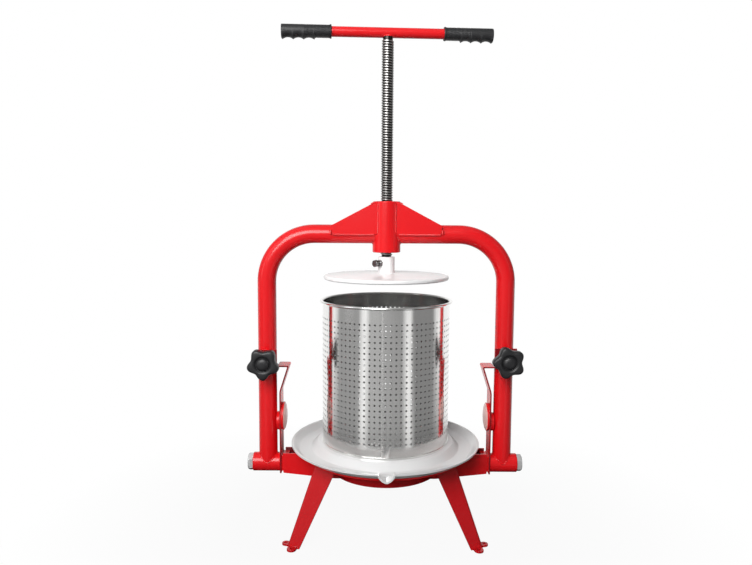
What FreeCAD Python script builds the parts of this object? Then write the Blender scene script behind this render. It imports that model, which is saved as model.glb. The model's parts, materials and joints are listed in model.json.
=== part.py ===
import FreeCAD, Part
import math
import os

import Sketcher

# Screw press for fruit: a tripod base carries a white juice tray and a perforated basket, and a
# tilting tube yoke carries the screw spindle with the press plate. Millimetres, +Z up, origin on
# the floor under the spindle, front of the press towards -Y.

SIZES = {
    # General
    "seat_gap": 0.3,
    "running_gap": 0.05,
    "cut_past": 2.0,
    # Cross beam, an open channel that gets deeper towards the middle
    "beam_width": 40.0,
    "beam_wall": 3.0,
    "beam_under_ring": 8.5,
    "beam_end_depth": 41.5,
    "beam_deepening": 11.5,
    "beam_mid_half": 104.0,
    "block_thickness": 14.0,
    "block_stand_out": 4.0,
    "block_inset": 0.2,
    "block_top_drop": 6.0,
    # Support under the tray
    "drum_inset": 30.0,
    "drum_wall": 3.0,
    "drum_depth": 56.5,
    "table_top": 181.5,
    "table_thickness": 4.0,
    "ring_width": 60.0,
    "ring_lip": 5.0,
    "ring_thickness": 3.0,
    # Folded legs
    "leg_foot_radius": 222.5,
    "leg_top_inset": 12.0,
    "leg_foot_width": 26.0,
    "leg_top_width": 48.0,
    "leg_sheet": 4.0,
    "leg_bend": 5.0,
    "toe_half_width": 9.0,
    "heel_half_width": 7.5,
    "tab_hole_reach": 6.5,
    "tab_hole_radius": 3.0,
    # Pivot of the yoke
    "pivot_over_floor": 17.5,
    "hub_radius": 19.2,
    "hub_past_tube": 11.7,
    "pivot_bolt_radius": 11.0,
    "pivot_head_flats": 32.0,
    "pivot_head_height": 10.5,
    "pivot_head_chamfer": 1.0,
    "pivot_bolt_depth": 12.0,
    # Yoke of bent tube
    "tube_radius": 19.0,
    "tube_wall": 2.5,
    "upright_clear": 7.3,
    "tube_bend": 98.0,
    "bar_height": 610.0,
    # Nut housing and gusset plates
    "housing_radius": 28.5,
    "housing_below_bar": 37.0,
    "housing_over_bar": 66.0,
    "housing_chamfer": 1.5,
    "bush_radius": 18.0,
    "bush_inset": 3.0,
    "gusset_sheet": 3.0,
    "gusset_top_drop": 1.5,
    "gusset_top_half": 23.0,
    "gusset_end_rise": 17.0,
    "gusset_end_reach": 112.0,
    "gusset_end_lean": 4.0,
    # Spindle and handle
    "spindle_radius": 12.0,
    "spindle_shoulder_gap": 0.5,
    "journal_radius": 8.5,
    "journal_gap": 0.1,
    "journal_groove_radius": 6.0,
    "handle_height": 1007.0,
    "handle_radius": 10.0,
    "handle_half": 210.0,
    "handle_wall": 2.5,
    "saddle_depth": 3.0,
    "grip_length": 99.0,
    "grip_radius": 12.4,
    "grip_end_wall": 2.0,
    "grip_collar_radius": 13.4,
    "grip_collar_length": 4.0,
    "finger_drop": 4.6,
    "finger_ridge_radius": 11.8,
    "finger_pitch": 20.6,
    "finger_first": 13.3,
    "finger_scallop": 15.3,
    "finger_length": 67.5,
    # Press plate
    "plate_play": 1.0,
    "plate_rim": 8.0,
    "plate_crown": 4.5,
    "plate_edge_round": 2.0,
    "boss_radius": 17.0,
    "boss_height": 33.0,
    "boss_under_housing": 9.0,
    "boss_floor": 4.0,
    "boss_pad": 21.0,
    "plate_bolt_drop": 12.6,
    "plate_bolt_radius": 4.0,
    "plate_bolt_flats": 13.0,
    "plate_bolt_head": 5.3,
    "plate_bolt_reach": 29.5,
    "plate_nut_thickness": 6.5,
    "plate_bolt_side_gap": 0.5,
    "plate_bolt_tip_gap": 0.4,
    # Basket
    "basket_radius": 130.0,
    "basket_wall": 1.5,
    "basket_height": 293.0,
    "basket_bead": 2.9,
    "basket_foot_height": 4.5,
    "basket_foot_wall": 0.8,
    # Juice tray
    "tray_sheet": 2.5,
    "plateau_margin": 10.0,
    "gutter_slope": 13.0,
    "gutter_width": 25.0,
    "rim_slope": 12.0,
    "rim_width": 4.2,
    "tray_rim_drop": 2.4,
    "tray_gutter_depth": 13.5,
    "tray_lip": 3.2,
    "tray_round": 4.0,
    "spout_half_width": 16.0,
    "spout_depth": 15.6,
    "spout_wall": 2.6,
    "spout_past_gutter": 3.0,
    "spout_past_rim": 4.8,
    # Lock bracket at each upright
    "tray_clear": 20.8,
    "bracket_sheet": 3.0,
    "bracket_width": 40.0,
    "bracket_below_beam": 1.0,
    "kink_drop": 55.0,
    "shelf_inset": 17.6,
    "shelf_drop": 11.0,
    "shelf_past": 4.0,
    "tongue_front": 38.0,
    "tongue_gap": 0.5,
    "tongue_step": 4.0,
    "tongue_slant": 6.0,
    "tongue_back": 16.0,
    "tongue_past_axis": 22.7,
    "lug_before_axis": 22.3,
    "lug_over_axis": 22.0,
    "right_lug_lift": 5.5,
    "lug_sheet": 3.0,
    "lug_hole_gap": 0.4,
    "spacer_radius": 19.0,
    "spacer_drop": 65.0,
    "buffer_drop": 55.0,
    "buffer_radius": 29.0,
    "buffer_neck": 25.5,
    "buffer_neck_height": 2.5,
    "buffer_rim": 2.5,
    "buffer_dome": 5.0,
    # Star knob
    "knob_height": 352.0,
    "knob_stud_radius": 5.0,
    "stud_tip_gap": 0.35,
    "stud_into_knob": 14.0,
    "knob_nut_flats": 18.0,
    "knob_nut_thickness": 8.0,
    "washer_radius": 10.5,
    "washer_thickness": 2.0,
    "knob_radius": 32.6,
    "knob_scallop": 13.0,
    "knob_scallop_out": 5.6,
    "knob_hub_radius": 10.5,
    "knob_hub_length": 13.0,
    "knob_head": 20.0,
    "knob_lobe_round": 8.0,
    "knob_edge_round": 4.0,
    "knob_dome_radius": 14.0,
    "knob_dome_height": 3.5,
    "knob_ring_radius": 17.5,
    "knob_ring_depth": 2.0,
}

ROOT_HALF = math.sqrt(0.5)
LOBES = 5
LEGS = ("rear", "left", "right")
REAR_AZIMUTH = 90.0
TOES = {"rear": 0, "left": 1, "right": -1}
KNOB_TURN = {"left": -20.0, "right": 37.0}
HANDLE_TURN = 3.5
PLATE_BOLT_AZIMUTH = 225.0
SPOUT_STEPS = 16
SPOUT_POINT = 1.3
SIDES = {"left": -1, "right": 1}

doc = FreeCAD.newDocument("fruit_press")
sheet = doc.addObject("Spreadsheet::Sheet", "Sizes")
for row, (name, value) in enumerate(SIZES.items(), start=1):
    sheet.set("A%d" % row, name)
    sheet.set("B%d" % row, "%g" % value)
    sheet.setAlias("B%d" % row, name)
doc.recompute()


# A length, together with the sheet expression that gives it
class Length:
    def __init__(self, value, text):
        self.value = float(value)
        self.text = text

    def __add__(self, other):
        other = length(other)
        return Length(self.value + other.value, "(%s + %s)" % (self.text, other.text))

    def __sub__(self, other):
        other = length(other)
        return Length(self.value - other.value, "(%s - %s)" % (self.text, other.text))

    def __mul__(self, other):
        other = length(other)
        return Length(self.value * other.value, "(%s * %s)" % (self.text, other.text))

    def __truediv__(self, other):
        other = length(other)
        return Length(self.value / other.value, "(%s / %s)" % (self.text, other.text))

    def __neg__(self):
        return Length(-self.value, "(0 - %s)" % self.text)

    def __radd__(self, other):
        return length(other) + self

    def __rsub__(self, other):
        return length(other) - self

    def __rmul__(self, other):
        return length(other) * self

    def root(self):
        return Length(math.sqrt(self.value), "sqrt(%s)" % self.text)


def length(value):
    return value if isinstance(value, Length) else Length(value, "%.9g" % value)


def size(name):
    return Length(sheet.get(name), "Sizes." + name)


# Parts are bodies of the document, and each body's label is the name of its file
bodies = []


def new_body(label):
    body = doc.addObject("PartDesign::Body", label)
    body.Label = label
    bodies.append(body)
    return body


def plane_of(body, role):
    return [item for item in body.Origin.OriginFeatures if item.Role == role][0]


def new_sketch(body, plane, offset):
    sketch = body.newObject("Sketcher::SketchObject", body.Label + "_sketch")
    sketch.AttachmentSupport = (plane_of(body, plane), [""])
    sketch.MapMode = "FlatFace"
    if offset is not None:
        sketch.AttachmentOffset = FreeCAD.Placement(
            FreeCAD.Vector(0, 0, length(offset).value), FreeCAD.Rotation()
        )
        sketch.setExpression("AttachmentOffset.Base.z", length(offset).text)
    return sketch


def pin_point(sketch, geometry, end, x=None, y=None):
    """Fix a point of the sketch at one or two distances from its origin."""
    for kind, line, distance in (("DistanceX", -2, x), ("DistanceY", -1, y)):
        if distance is None:
            continue
        if isinstance(distance, Length):
            index = sketch.addConstraint(
                Sketcher.Constraint(kind, -1, 1, geometry, end, distance.value)
            )
            sketch.setExpression("Constraints[%d]" % index, distance.text)
        else:
            sketch.addConstraint(Sketcher.Constraint("PointOnObject", geometry, end, line))


def spot(x, y):
    return FreeCAD.Vector(length(x).value, length(y).value, 0)


def outline(body, plane, points, offset=None):
    """A closed sketch of straight runs; a plain 0 puts a corner on the sketch's own axis."""
    sketch = new_sketch(body, plane, offset)
    count = len(points)
    for number in range(count):
        start, stop = points[number], points[(number + 1) % count]
        sketch.addGeometry(Part.LineSegment(spot(*start), spot(*stop)))
    for number in range(count):
        sketch.addConstraint(
            Sketcher.Constraint("Coincident", number, 2, (number + 1) % count, 1)
        )
    for number, (x, y) in enumerate(points):
        pin_point(sketch, number, 1, x, y)
    return sketch


def rings(body, plane, circles, offset=None):
    """A sketch of circles, each a centre and a radius."""
    sketch = new_sketch(body, plane, offset)
    up = FreeCAD.Vector(0, 0, 1)
    for number, (x, y, radius) in enumerate(circles):
        sketch.addGeometry(Part.Circle(spot(x, y), up, radius.value))
        index = sketch.addConstraint(Sketcher.Constraint("Radius", number, radius.value))
        sketch.setExpression("Constraints[%d]" % index, radius.text)
        pin_point(sketch, number, 3, x, y)
    return sketch


def hexagon(body, plane, flats, offset=None, turn=0.0):
    """A hexagon about the sketch's origin, by its width across flats."""
    points = []
    for number in range(6):
        angle = math.radians(60.0 * number + turn)
        reach = flats / math.sqrt(3.0)
        x, y = math.cos(angle), math.sin(angle)
        points.append(
            (
                reach * x if abs(x) > 1e-9 else 0,
                reach * y if abs(y) > 1e-9 else 0,
            )
        )
    return outline(body, plane, points, offset)


def pad(body, sketch, reach, middle=False, back=False):
    feature = body.newObject("PartDesign::Pad", body.Label + "_pad")
    feature.Profile = sketch
    feature.setExpression("Length", length(reach).text)
    feature.Midplane = middle
    feature.Reversed = back
    return feature


def pocket(body, sketch, reach, middle=False, back=False):
    """A cut that has to take material away."""
    doc.recompute()
    before = body.Shape.Volume
    feature = body.newObject("PartDesign::Pocket", body.Label + "_pocket")
    feature.Profile = sketch
    feature.setExpression("Length", length(reach).text)
    feature.Midplane = middle
    feature.Reversed = back
    doc.recompute()
    if not body.Shape.Volume < before:
        raise RuntimeError("a cut of %s takes nothing away" % body.Label)
    return feature


def turned(body, points):
    """A full turn about Z of a half section given as radius and height."""
    sketch = outline(body, "XZ_Plane", points)
    feature = body.newObject("PartDesign::Revolution", body.Label + "_turn")
    feature.Profile = sketch
    feature.ReferenceAxis = (sketch, ["V_Axis"])
    feature.Angle = 360
    return feature


def pattern(body, feature, sketch, count):
    copies = body.newObject("PartDesign::PolarPattern", body.Label + "_pattern")
    copies.Originals = [feature]
    copies.Axis = (sketch, ["N_Axis"])
    copies.Angle = 360
    copies.Occurrences = count
    body.Tip = copies
    return copies


def soften(body, kind, radius, choose):
    """A fillet or chamfer on the edges that choose picks from the body as it is."""
    doc.recompute()
    base = body.Tip
    names = [
        "Edge%d" % number
        for number, edge in enumerate(base.Shape.Edges, start=1)
        if choose(edge)
    ]
    if not names:
        raise RuntimeError("no edge to soften on " + body.Label)
    feature = body.newObject("PartDesign::" + kind, body.Label + "_" + kind.lower())
    feature.Base = (base, names)
    feature.setExpression("Radius" if kind == "Fillet" else "Size", length(radius).text)
    body.Tip = feature
    return feature


def ring_edge(edge, radius, height):
    """True for a circle about Z of about this radius at this height."""
    curve = edge.Curve
    return (
        isinstance(curve, Part.Circle)
        and abs(curve.Radius - radius.value) < 0.01
        and abs(curve.Center.z - height.value) < 0.01
        and abs(curve.Axis.z) > 0.99
    )


def place(body, x=0, y=0, z=0, rotation=None):
    body.Placement = FreeCAD.Placement(
        FreeCAD.Vector(length(x).value, length(y).value, length(z).value),
        rotation or FreeCAD.Rotation(),
    )
    for axis, distance in (("x", x), ("y", y), ("z", z)):
        if isinstance(distance, Length):
            body.setExpression("Placement.Base." + axis, distance.text)


def towards(direction):
    """Turns a body's own Z axis to a direction."""
    return FreeCAD.Rotation(FreeCAD.Vector(0, 0, 1), FreeCAD.Vector(*direction))


def tube_section(inner, outer, low, high):
    return [(inner, low), (outer, low), (outer, high), (inner, high)]


gap = size("seat_gap")
play = size("running_gap")
past = size("cut_past")

# Radii and heights that several pieces share
basket_radius = size("basket_radius")
plateau = basket_radius + size("plateau_margin")
gutter_in = plateau + size("gutter_slope")
gutter_out = gutter_in + size("gutter_width")
rim_in = gutter_out + size("rim_slope")
tray_radius = rim_in + size("rim_width")
drum_radius = plateau - size("drum_inset")
ring_radius = drum_radius + size("ring_width")
table_top = size("table_top")
table_bottom = table_top - size("table_thickness")
gutter_under = table_top - size("tray_gutter_depth")
ring_bottom = gutter_under - size("ring_thickness")
bracket_sheet = size("bracket_sheet")
bracket_inner = tray_radius + size("tray_clear")
bracket_outer = bracket_inner + bracket_sheet
tube_radius = size("tube_radius")
tube_reach = bracket_outer + size("upright_clear") + tube_radius

# Cross beam: folded channel, open at the top, deeper in the middle
beam_half = bracket_inner - size("block_stand_out")
beam_mid = size("beam_mid_half")
beam_top = ring_bottom - size("beam_under_ring")
beam_wall = size("beam_wall")
beam_width = size("beam_width")
end_floor = beam_top - size("beam_end_depth")
mid_floor = end_floor - size("beam_deepening")

beam = new_body("cross_beam")
pad(
    beam,
    outline(
        beam,
        "XZ_Plane",
        [
            (-beam_half, beam_top),
            (-beam_half, end_floor),
            (-beam_mid, mid_floor),
            (beam_mid, mid_floor),
            (beam_half, end_floor),
            (beam_half, beam_top),
        ],
    ),
    beam_width,
    middle=True,
)
pocket(
    beam,
    outline(
        beam,
        "XZ_Plane",
        [
            (-beam_half - past, beam_top + past),
            (-beam_half - past, end_floor + beam_wall),
            (-beam_half, end_floor + beam_wall),
            (-beam_mid, mid_floor + beam_wall),
            (beam_mid, mid_floor + beam_wall),
            (beam_half, end_floor + beam_wall),
            (beam_half + past, end_floor + beam_wall),
            (beam_half + past, beam_top + past),
        ],
    ),
    beam_width - beam_wall * 2,
    middle=True,
)

# Tapped block in each end of the beam, which stands out a little to carry the lock bracket
pivot = end_floor + size("pivot_over_floor")
bolt_radius = size("pivot_bolt_radius")
block_thickness = size("block_thickness")
block_half = beam_width / 2 - beam_wall - size("block_inset")
block_low = end_floor + beam_wall + size("block_inset")
block_high = beam_top - size("block_top_drop")

for side, sign in SIDES.items():
    block = new_body("end_block_" + side)
    block_start = bracket_inner - block_thickness if sign > 0 else -bracket_inner
    pad(
        block,
        outline(
            block,
            "YZ_Plane",
            [
                (-block_half, block_low),
                (block_half, block_low),
                (block_half, block_high),
                (-block_half, block_high),
            ],
            block_start,
        ),
        block_thickness,
    )
    pocket(
        block,
        rings(block, "YZ_Plane", [(0, pivot, bolt_radius + play)], block_start - past),
        block_thickness + past * 2,
        back=True,
    )

# Drum that stands on the beam by two notches, its table plate, and the ring round it with an
# edge turned down
drum_inner = drum_radius - size("drum_wall")
drum_bottom = table_bottom - size("drum_depth")

drum = new_body("support_drum")
turned(drum, tube_section(drum_inner, drum_radius, drum_bottom, table_bottom))
pocket(
    drum,
    outline(
        drum,
        "YZ_Plane",
        [
            (-beam_width / 2, drum_bottom - past),
            (beam_width / 2, drum_bottom - past),
            (beam_width / 2, beam_top),
            (-beam_width / 2, beam_top),
        ],
    ),
    drum_radius * 2 + past * 2,
    middle=True,
)

table = new_body("press_table")
turned(table, [(0, table_bottom), (drum_radius, table_bottom), (drum_radius, table_top), (0, table_top)])

ring = new_body("support_ring")
ring_skin = ring_radius - size("ring_thickness")
lip_bottom = ring_bottom - size("ring_lip")
turned(
    ring,
    [
        (drum_radius, ring_bottom),
        (ring_skin, ring_bottom),
        (ring_skin, lip_bottom),
        (ring_radius, lip_bottom),
        (ring_radius, gutter_under),
        (drum_radius, gutter_under),
    ],
)

# Three legs of folded sheet, the fold outwards, with two drilled foot tabs each
sheet_leg = size("leg_sheet")
leg_bend = size("leg_bend")


def leg_section(apex, width):
    """The V section of a leg: two flanges at right angles, apex on the X axis."""
    run = width * ROOT_HALF
    skin = sheet_leg * ROOT_HALF
    fold = leg_bend * ROOT_HALF
    nose = apex - leg_bend * (2 * ROOT_HALF - 1)
    return [
        (nose, 0),
        (apex - fold, fold),
        (apex - run, run),
        (apex - run - skin, run - skin),
        (apex - skin * 2, 0),
        (apex - run - skin, skin - run),
        (apex - run, -run),
        (apex - fold, -fold),
    ]


foot_radius = size("leg_foot_radius")
foot_width = size("leg_foot_width")
tab_reach = size("tab_hole_reach")
tab_middle = foot_width / 2


def tab_point(along, out, flank):
    """A point on a foot tab: along the flange from the fold, then out from its face."""
    x = foot_radius + (out - along) * ROOT_HALF
    y = (out + along) * ROOT_HALF
    return (x, y if flank > 0 else -y)


for number, side in enumerate(LEGS):
    leg = new_body("leg_" + side)
    foot = outline(leg, "XY_Plane", leg_section(foot_radius, foot_width), 0)
    top = outline(
        leg, "XY_Plane", leg_section(ring_radius - size("leg_top_inset"), size("leg_top_width")), ring_bottom
    )
    loft = leg.newObject("PartDesign::AdditiveLoft", "leg_loft")
    loft.Profile = foot
    loft.Sections = [top]
    loft.Ruled = True
    doc.recompute()
    for flank in (1, -1):
        tab_half = size("toe_half_width" if flank == TOES[side] else "heel_half_width")
        tab = outline(
            leg,
            "XY_Plane",
            [
                tab_point(tab_middle - tab_half, -sheet_leg / 2, flank),
                tab_point(tab_middle + tab_half, -sheet_leg / 2, flank),
                tab_point(tab_middle + tab_half, tab_reach, flank),
                tab_point(tab_middle - tab_half, tab_reach, flank),
            ],
        )
        pad(leg, tab, sheet_leg)
        end_x, end_y = tab_point(tab_middle, tab_reach, flank)
        pad(leg, rings(leg, "XY_Plane", [(end_x, end_y, tab_half)]), sheet_leg)
        doc.recompute()
        pocket(
            leg,
            rings(leg, "XY_Plane", [(end_x, end_y, size("tab_hole_radius"))], -past),
            sheet_leg + past * 2,
            back=True,
        )
    azimuth = REAR_AZIMUTH + 360.0 * number / len(LEGS)
    place(leg, rotation=FreeCAD.Rotation(FreeCAD.Vector(0, 0, 1), azimuth))

# Lock bracket: bent strip up the inside of each upright, with a shelf that passes in front of
# the tube and a lug for the star knob
bracket_width = size("bracket_width")
bracket_low = end_floor - size("bracket_below_beam")
knob_height = size("knob_height")
shelf_top = knob_height - size("shelf_drop")
kink = shelf_top - size("kink_drop")
corner = bracket_inner - size("shelf_inset")
shelf_end = bracket_outer + size("shelf_past")
shelf_under = shelf_top - bracket_sheet
slant = (bracket_inner - corner) / (shelf_top - kink)
slant_stretch = (slant * slant + 1).root()
slant_skin = bracket_sheet * slant_stretch
kink_outer = kink + bracket_sheet * (slant_stretch - 1) / slant
corner_under = corner + slant * bracket_sheet + slant_skin
tongue_rear = tube_radius + size("tongue_gap")
tongue_front = size("tongue_front")
tongue_end = tube_reach + size("tongue_past_axis")
tongue_step = shelf_end + size("tongue_step")
tongue_wide = tongue_step + size("tongue_slant")
tongue_back = size("tongue_back")
lug_inner = tube_reach - size("lug_before_axis")
lug_front = tongue_rear + size("lug_sheet")
stud_radius = size("knob_stud_radius")

knob_levels = {"left": knob_height, "right": knob_height + size("right_lug_lift")}

for side, sign in SIDES.items():
    bracket = new_body("lock_bracket_" + side)
    lug_top = knob_levels[side] + size("lug_over_axis")
    strip = [
        (bracket_inner, bracket_low),
        (bracket_outer, bracket_low),
        (bracket_outer, kink_outer),
        (corner_under, shelf_under),
        (shelf_end, shelf_under),
        (shelf_end, shelf_top),
        (corner, shelf_top),
        (bracket_inner, kink),
    ]
    pad(
        bracket,
        outline(bracket, "XZ_Plane", [(x * sign, z) for x, z in strip]),
        bracket_width,
        middle=True,
    )
    tongue = [
        (shelf_end - bracket_sheet * 2, bracket_width / -2),
        (tongue_step, bracket_width / -2),
        (tongue_wide, -tongue_front),
        (tongue_end, -tongue_front),
        (tongue_end, -tongue_rear),
        (tongue_wide + bracket_sheet, -tongue_rear),
        (tongue_wide, -tongue_back),
        (shelf_end - bracket_sheet * 2, -tongue_back),
    ]
    pad(
        bracket,
        outline(bracket, "XY_Plane", [(x * sign, y) for x, y in tongue], shelf_under),
        bracket_sheet,
    )
    lug = [
        (lug_inner, shelf_under),
        (tongue_end, shelf_under),
        (tongue_end, lug_top),
        (lug_inner, lug_top),
    ]
    pad(
        bracket,
        outline(bracket, "XZ_Plane", [(x * sign, z) for x, z in lug], tongue_rear),
        size("lug_sheet"),
    )
    pocket(
        bracket,
        rings(
            bracket,
            "XZ_Plane",
            [(tube_reach * sign, knob_levels[side], stud_radius + size("lug_hole_gap"))],
            tongue_rear - past,
        ),
        size("lug_sheet") + past * 2,
        back=True,
    )
    hole_start = (bracket_inner if sign > 0 else -bracket_outer) - past
    pocket(
        bracket,
        rings(bracket, "YZ_Plane", [(0, pivot, bolt_radius + play)], hole_start),
        bracket_sheet + past * 2,
        back=True,
    )

# Round spacer that keeps the upright off the bracket, and the domed disc on its inner side
spacer_radius = size("spacer_radius")
tube_inner_face = tube_reach - tube_radius
neck = size("buffer_neck_height")
rim = neck + size("buffer_rim")
for side, sign in SIDES.items():
    spacer = new_body("guide_spacer_" + side)
    thickness = tube_inner_face - gap - bracket_outer
    turned(
        spacer,
        [(0, 0), (spacer_radius, 0), (spacer_radius, thickness), (0, thickness)],
    )
    place(spacer, bracket_outer * sign, 0, kink - size("spacer_drop"), towards((sign, 0, 0)))

    disc = new_body("buffer_disc_" + side)
    buffer_radius = size("buffer_radius")
    dome = size("buffer_dome")
    turned(
        disc,
        [
            (0, 0),
            (size("buffer_neck"), 0),
            (size("buffer_neck"), neck),
            (buffer_radius, neck),
            (buffer_radius, rim),
            (buffer_radius * 0.86, rim + dome * 0.45),
            (buffer_radius * 0.6, rim + dome * 0.8),
            (buffer_radius * 0.3, rim + dome * 0.96),
            (0, rim + dome),
        ],
    )
    place(disc, bracket_inner * sign, 0, kink - size("buffer_drop"), towards((-sign, 0, 0)))

# Pivot bolts and the hubs of the yoke that turn on them
hub_end = tube_reach + tube_radius + size("hub_past_tube")
hub_start = bracket_outer + gap
hub_length = hub_end - hub_start
hub_radius = size("hub_radius")
head_height = size("pivot_head_height")
for side, sign in SIDES.items():
    bolt = new_body("pivot_bolt_" + side)
    bolt_end = bracket_inner - size("pivot_bolt_depth")
    shank = hub_end + gap - bolt_end
    pad(bolt, rings(bolt, "XY_Plane", [(0, 0, bolt_radius)]), shank)
    pad(bolt, hexagon(bolt, "XY_Plane", size("pivot_head_flats"), shank), head_height)
    soften(
        bolt,
        "Chamfer",
        size("pivot_head_chamfer"),
        lambda edge: edge.BoundBox.ZMin > (shank + head_height).value - 0.01,
    )
    place(bolt, bolt_end * sign, 0, pivot, towards((sign, 0, 0)))

    hub = new_body("pivot_hub_" + side)
    turned(hub, tube_section(bolt_radius + play, hub_radius, 0 * gap, hub_length))
    place(hub, hub_start * sign, 0, pivot, towards((sign, 0, 0)))

# Yoke: one bent tube on each side, cut to fit the housing in the middle and the hub below
bend = size("tube_bend")
bar_height = size("bar_height")
housing_radius = size("housing_radius")
housing_bottom = bar_height - size("housing_below_bar")
housing_top = bar_height + size("housing_over_bar")
tube_inner = tube_radius - size("tube_wall")
for side, sign in SIDES.items():
    tube = new_body("yoke_tube_" + side)
    start = housing_radius / 2
    path = new_sketch(tube, "XZ_Plane", None)
    bend_x = (tube_reach - bend) * sign
    bend_z = bar_height - bend
    path.addGeometry(Part.LineSegment(spot(start * sign, bar_height), spot(bend_x, bar_height)))
    path.addGeometry(
        Part.ArcOfCircle(
            Part.Circle(spot(bend_x, bend_z), FreeCAD.Vector(0, 0, 1), bend.value),
            0.0 if sign > 0 else math.pi / 2,
            math.pi / 2 if sign > 0 else math.pi,
        )
    )
    path.addGeometry(
        Part.LineSegment(spot(tube_reach * sign, bend_z), spot(tube_reach * sign, pivot))
    )
    arc_top, arc_low = (2, 1) if sign > 0 else (1, 2)
    path.addConstraint(Sketcher.Constraint("Coincident", 0, 2, 1, arc_top))
    path.addConstraint(Sketcher.Constraint("Coincident", 2, 1, 1, arc_low))
    pin_point(path, 0, 1, start * sign, bar_height)
    pin_point(path, 0, 2, bend_x, bar_height)
    pin_point(path, 1, 3, x=bend_x)
    pin_point(path, 2, 1, tube_reach * sign, bend_z)
    pin_point(path, 2, 2, tube_reach * sign, pivot)
    ends = rings(
        tube,
        "YZ_Plane",
        [(0, bar_height, tube_radius), (0, bar_height, tube_inner)],
        start * sign,
    )
    sweep = tube.newObject("PartDesign::AdditivePipe", "tube_sweep")
    sweep.Profile = ends
    sweep.Spine = path
    doc.recompute()
    pocket(
        tube,
        rings(tube, "XY_Plane", [(0, 0, housing_radius)], bar_height - tube_radius - past),
        tube_radius * 2 + past * 2,
        back=True,
    )
    hub_from = hub_start if sign > 0 else -hub_end
    pocket(
        tube,
        rings(tube, "YZ_Plane", [(0, pivot, hub_radius)], hub_from - past),
        hub_length + past * 2,
        back=True,
    )

# Housing of the spindle nut, the nut itself, and four gusset plates tangent to the tube
bush_radius = size("bush_radius")
bush_inset = size("bush_inset")
chamfer = size("housing_chamfer")
housing = new_body("nut_housing")
turned(
    housing,
    [
        (bush_radius, housing_bottom),
        (housing_radius - chamfer, housing_bottom),
        (housing_radius, housing_bottom + chamfer),
        (housing_radius, housing_top - chamfer),
        (housing_radius - chamfer, housing_top),
        (bush_radius, housing_top),
    ],
)

spindle_radius = size("spindle_radius")
bush = new_body("spindle_nut")
turned(
    bush,
    tube_section(
        spindle_radius + play,
        bush_radius,
        housing_bottom + bush_inset,
        housing_top - bush_inset,
    ),
)

gusset_sheet = size("gusset_sheet")
gusset_top = housing_top - size("gusset_top_drop")
gusset_reach = size("gusset_end_reach")
for face, start in (("front", tube_radius), ("rear", -tube_radius - gusset_sheet)):
    for side, sign in SIDES.items():
        gusset = new_body("gusset_%s_%s" % (face, side))
        shape = [
            (tube_radius / 2, bar_height),
            (gusset_reach - size("gusset_end_lean"), bar_height),
            (gusset_reach, bar_height + size("gusset_end_rise")),
            (size("gusset_top_half"), gusset_top),
            (tube_radius / 2, gusset_top),
        ]
        pad(
            gusset,
            outline(gusset, "XZ_Plane", [(x * sign, z) for x, z in shape], start),
            gusset_sheet,
        )
        pocket(
            gusset,
            rings(gusset, "XY_Plane", [(0, 0, housing_radius)], bar_height - past),
            gusset_top - bar_height + past * 2,
            back=True,
        )

# Spindle: threaded outside the nut in the real one, with a grooved journal in the plate boss
boss_top = housing_bottom - size("boss_under_housing")
boss_radius = size("boss_radius")
plate_top = boss_top - size("boss_height")
rim_top = plate_top - size("plate_crown")
plate_bottom = rim_top - size("plate_rim")
journal_end = plate_top + size("boss_floor")
journal_radius = size("journal_radius")
bolt_height = boss_top - size("plate_bolt_drop")
side_bolt_radius = size("plate_bolt_radius")
groove_half = side_bolt_radius + size("plate_bolt_side_gap")
groove_radius = size("journal_groove_radius")
shoulder = boss_top + size("spindle_shoulder_gap")
handle_height = size("handle_height")
handle_radius = size("handle_radius")
spindle_top = handle_height - handle_radius + size("saddle_depth")
spindle = new_body("spindle")
turned(
    spindle,
    [
        (0, journal_end),
        (journal_radius, journal_end),
        (journal_radius, bolt_height - groove_half),
        (groove_radius, bolt_height - groove_half),
        (groove_radius, bolt_height + groove_half),
        (journal_radius, bolt_height + groove_half),
        (journal_radius, shoulder),
        (spindle_radius, shoulder),
        (spindle_radius, spindle_top),
        (0, spindle_top),
    ],
)
pocket(
    spindle,
    rings(spindle, "YZ_Plane", [(0, handle_height, handle_radius)], -spindle_radius - past),
    spindle_radius * 2 + past * 2,
    back=True,
)
handle_angle = math.radians(HANDLE_TURN)
handle_turn = FreeCAD.Rotation(FreeCAD.Vector(0, 0, 1), HANDLE_TURN)
place(spindle, rotation=handle_turn)

# Handle bar of tube with a moulded grip on each end
handle_half = size("handle_half")
grip_wall = size("grip_end_wall")
bar_half = handle_half - grip_wall
handle = new_body("handle_bar")
turned(
    handle,
    tube_section(handle_radius - size("handle_wall"), handle_radius, -bar_half, bar_half),
)
place(handle, 0, 0, handle_height, handle_turn * towards((1, 0, 0)))

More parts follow.
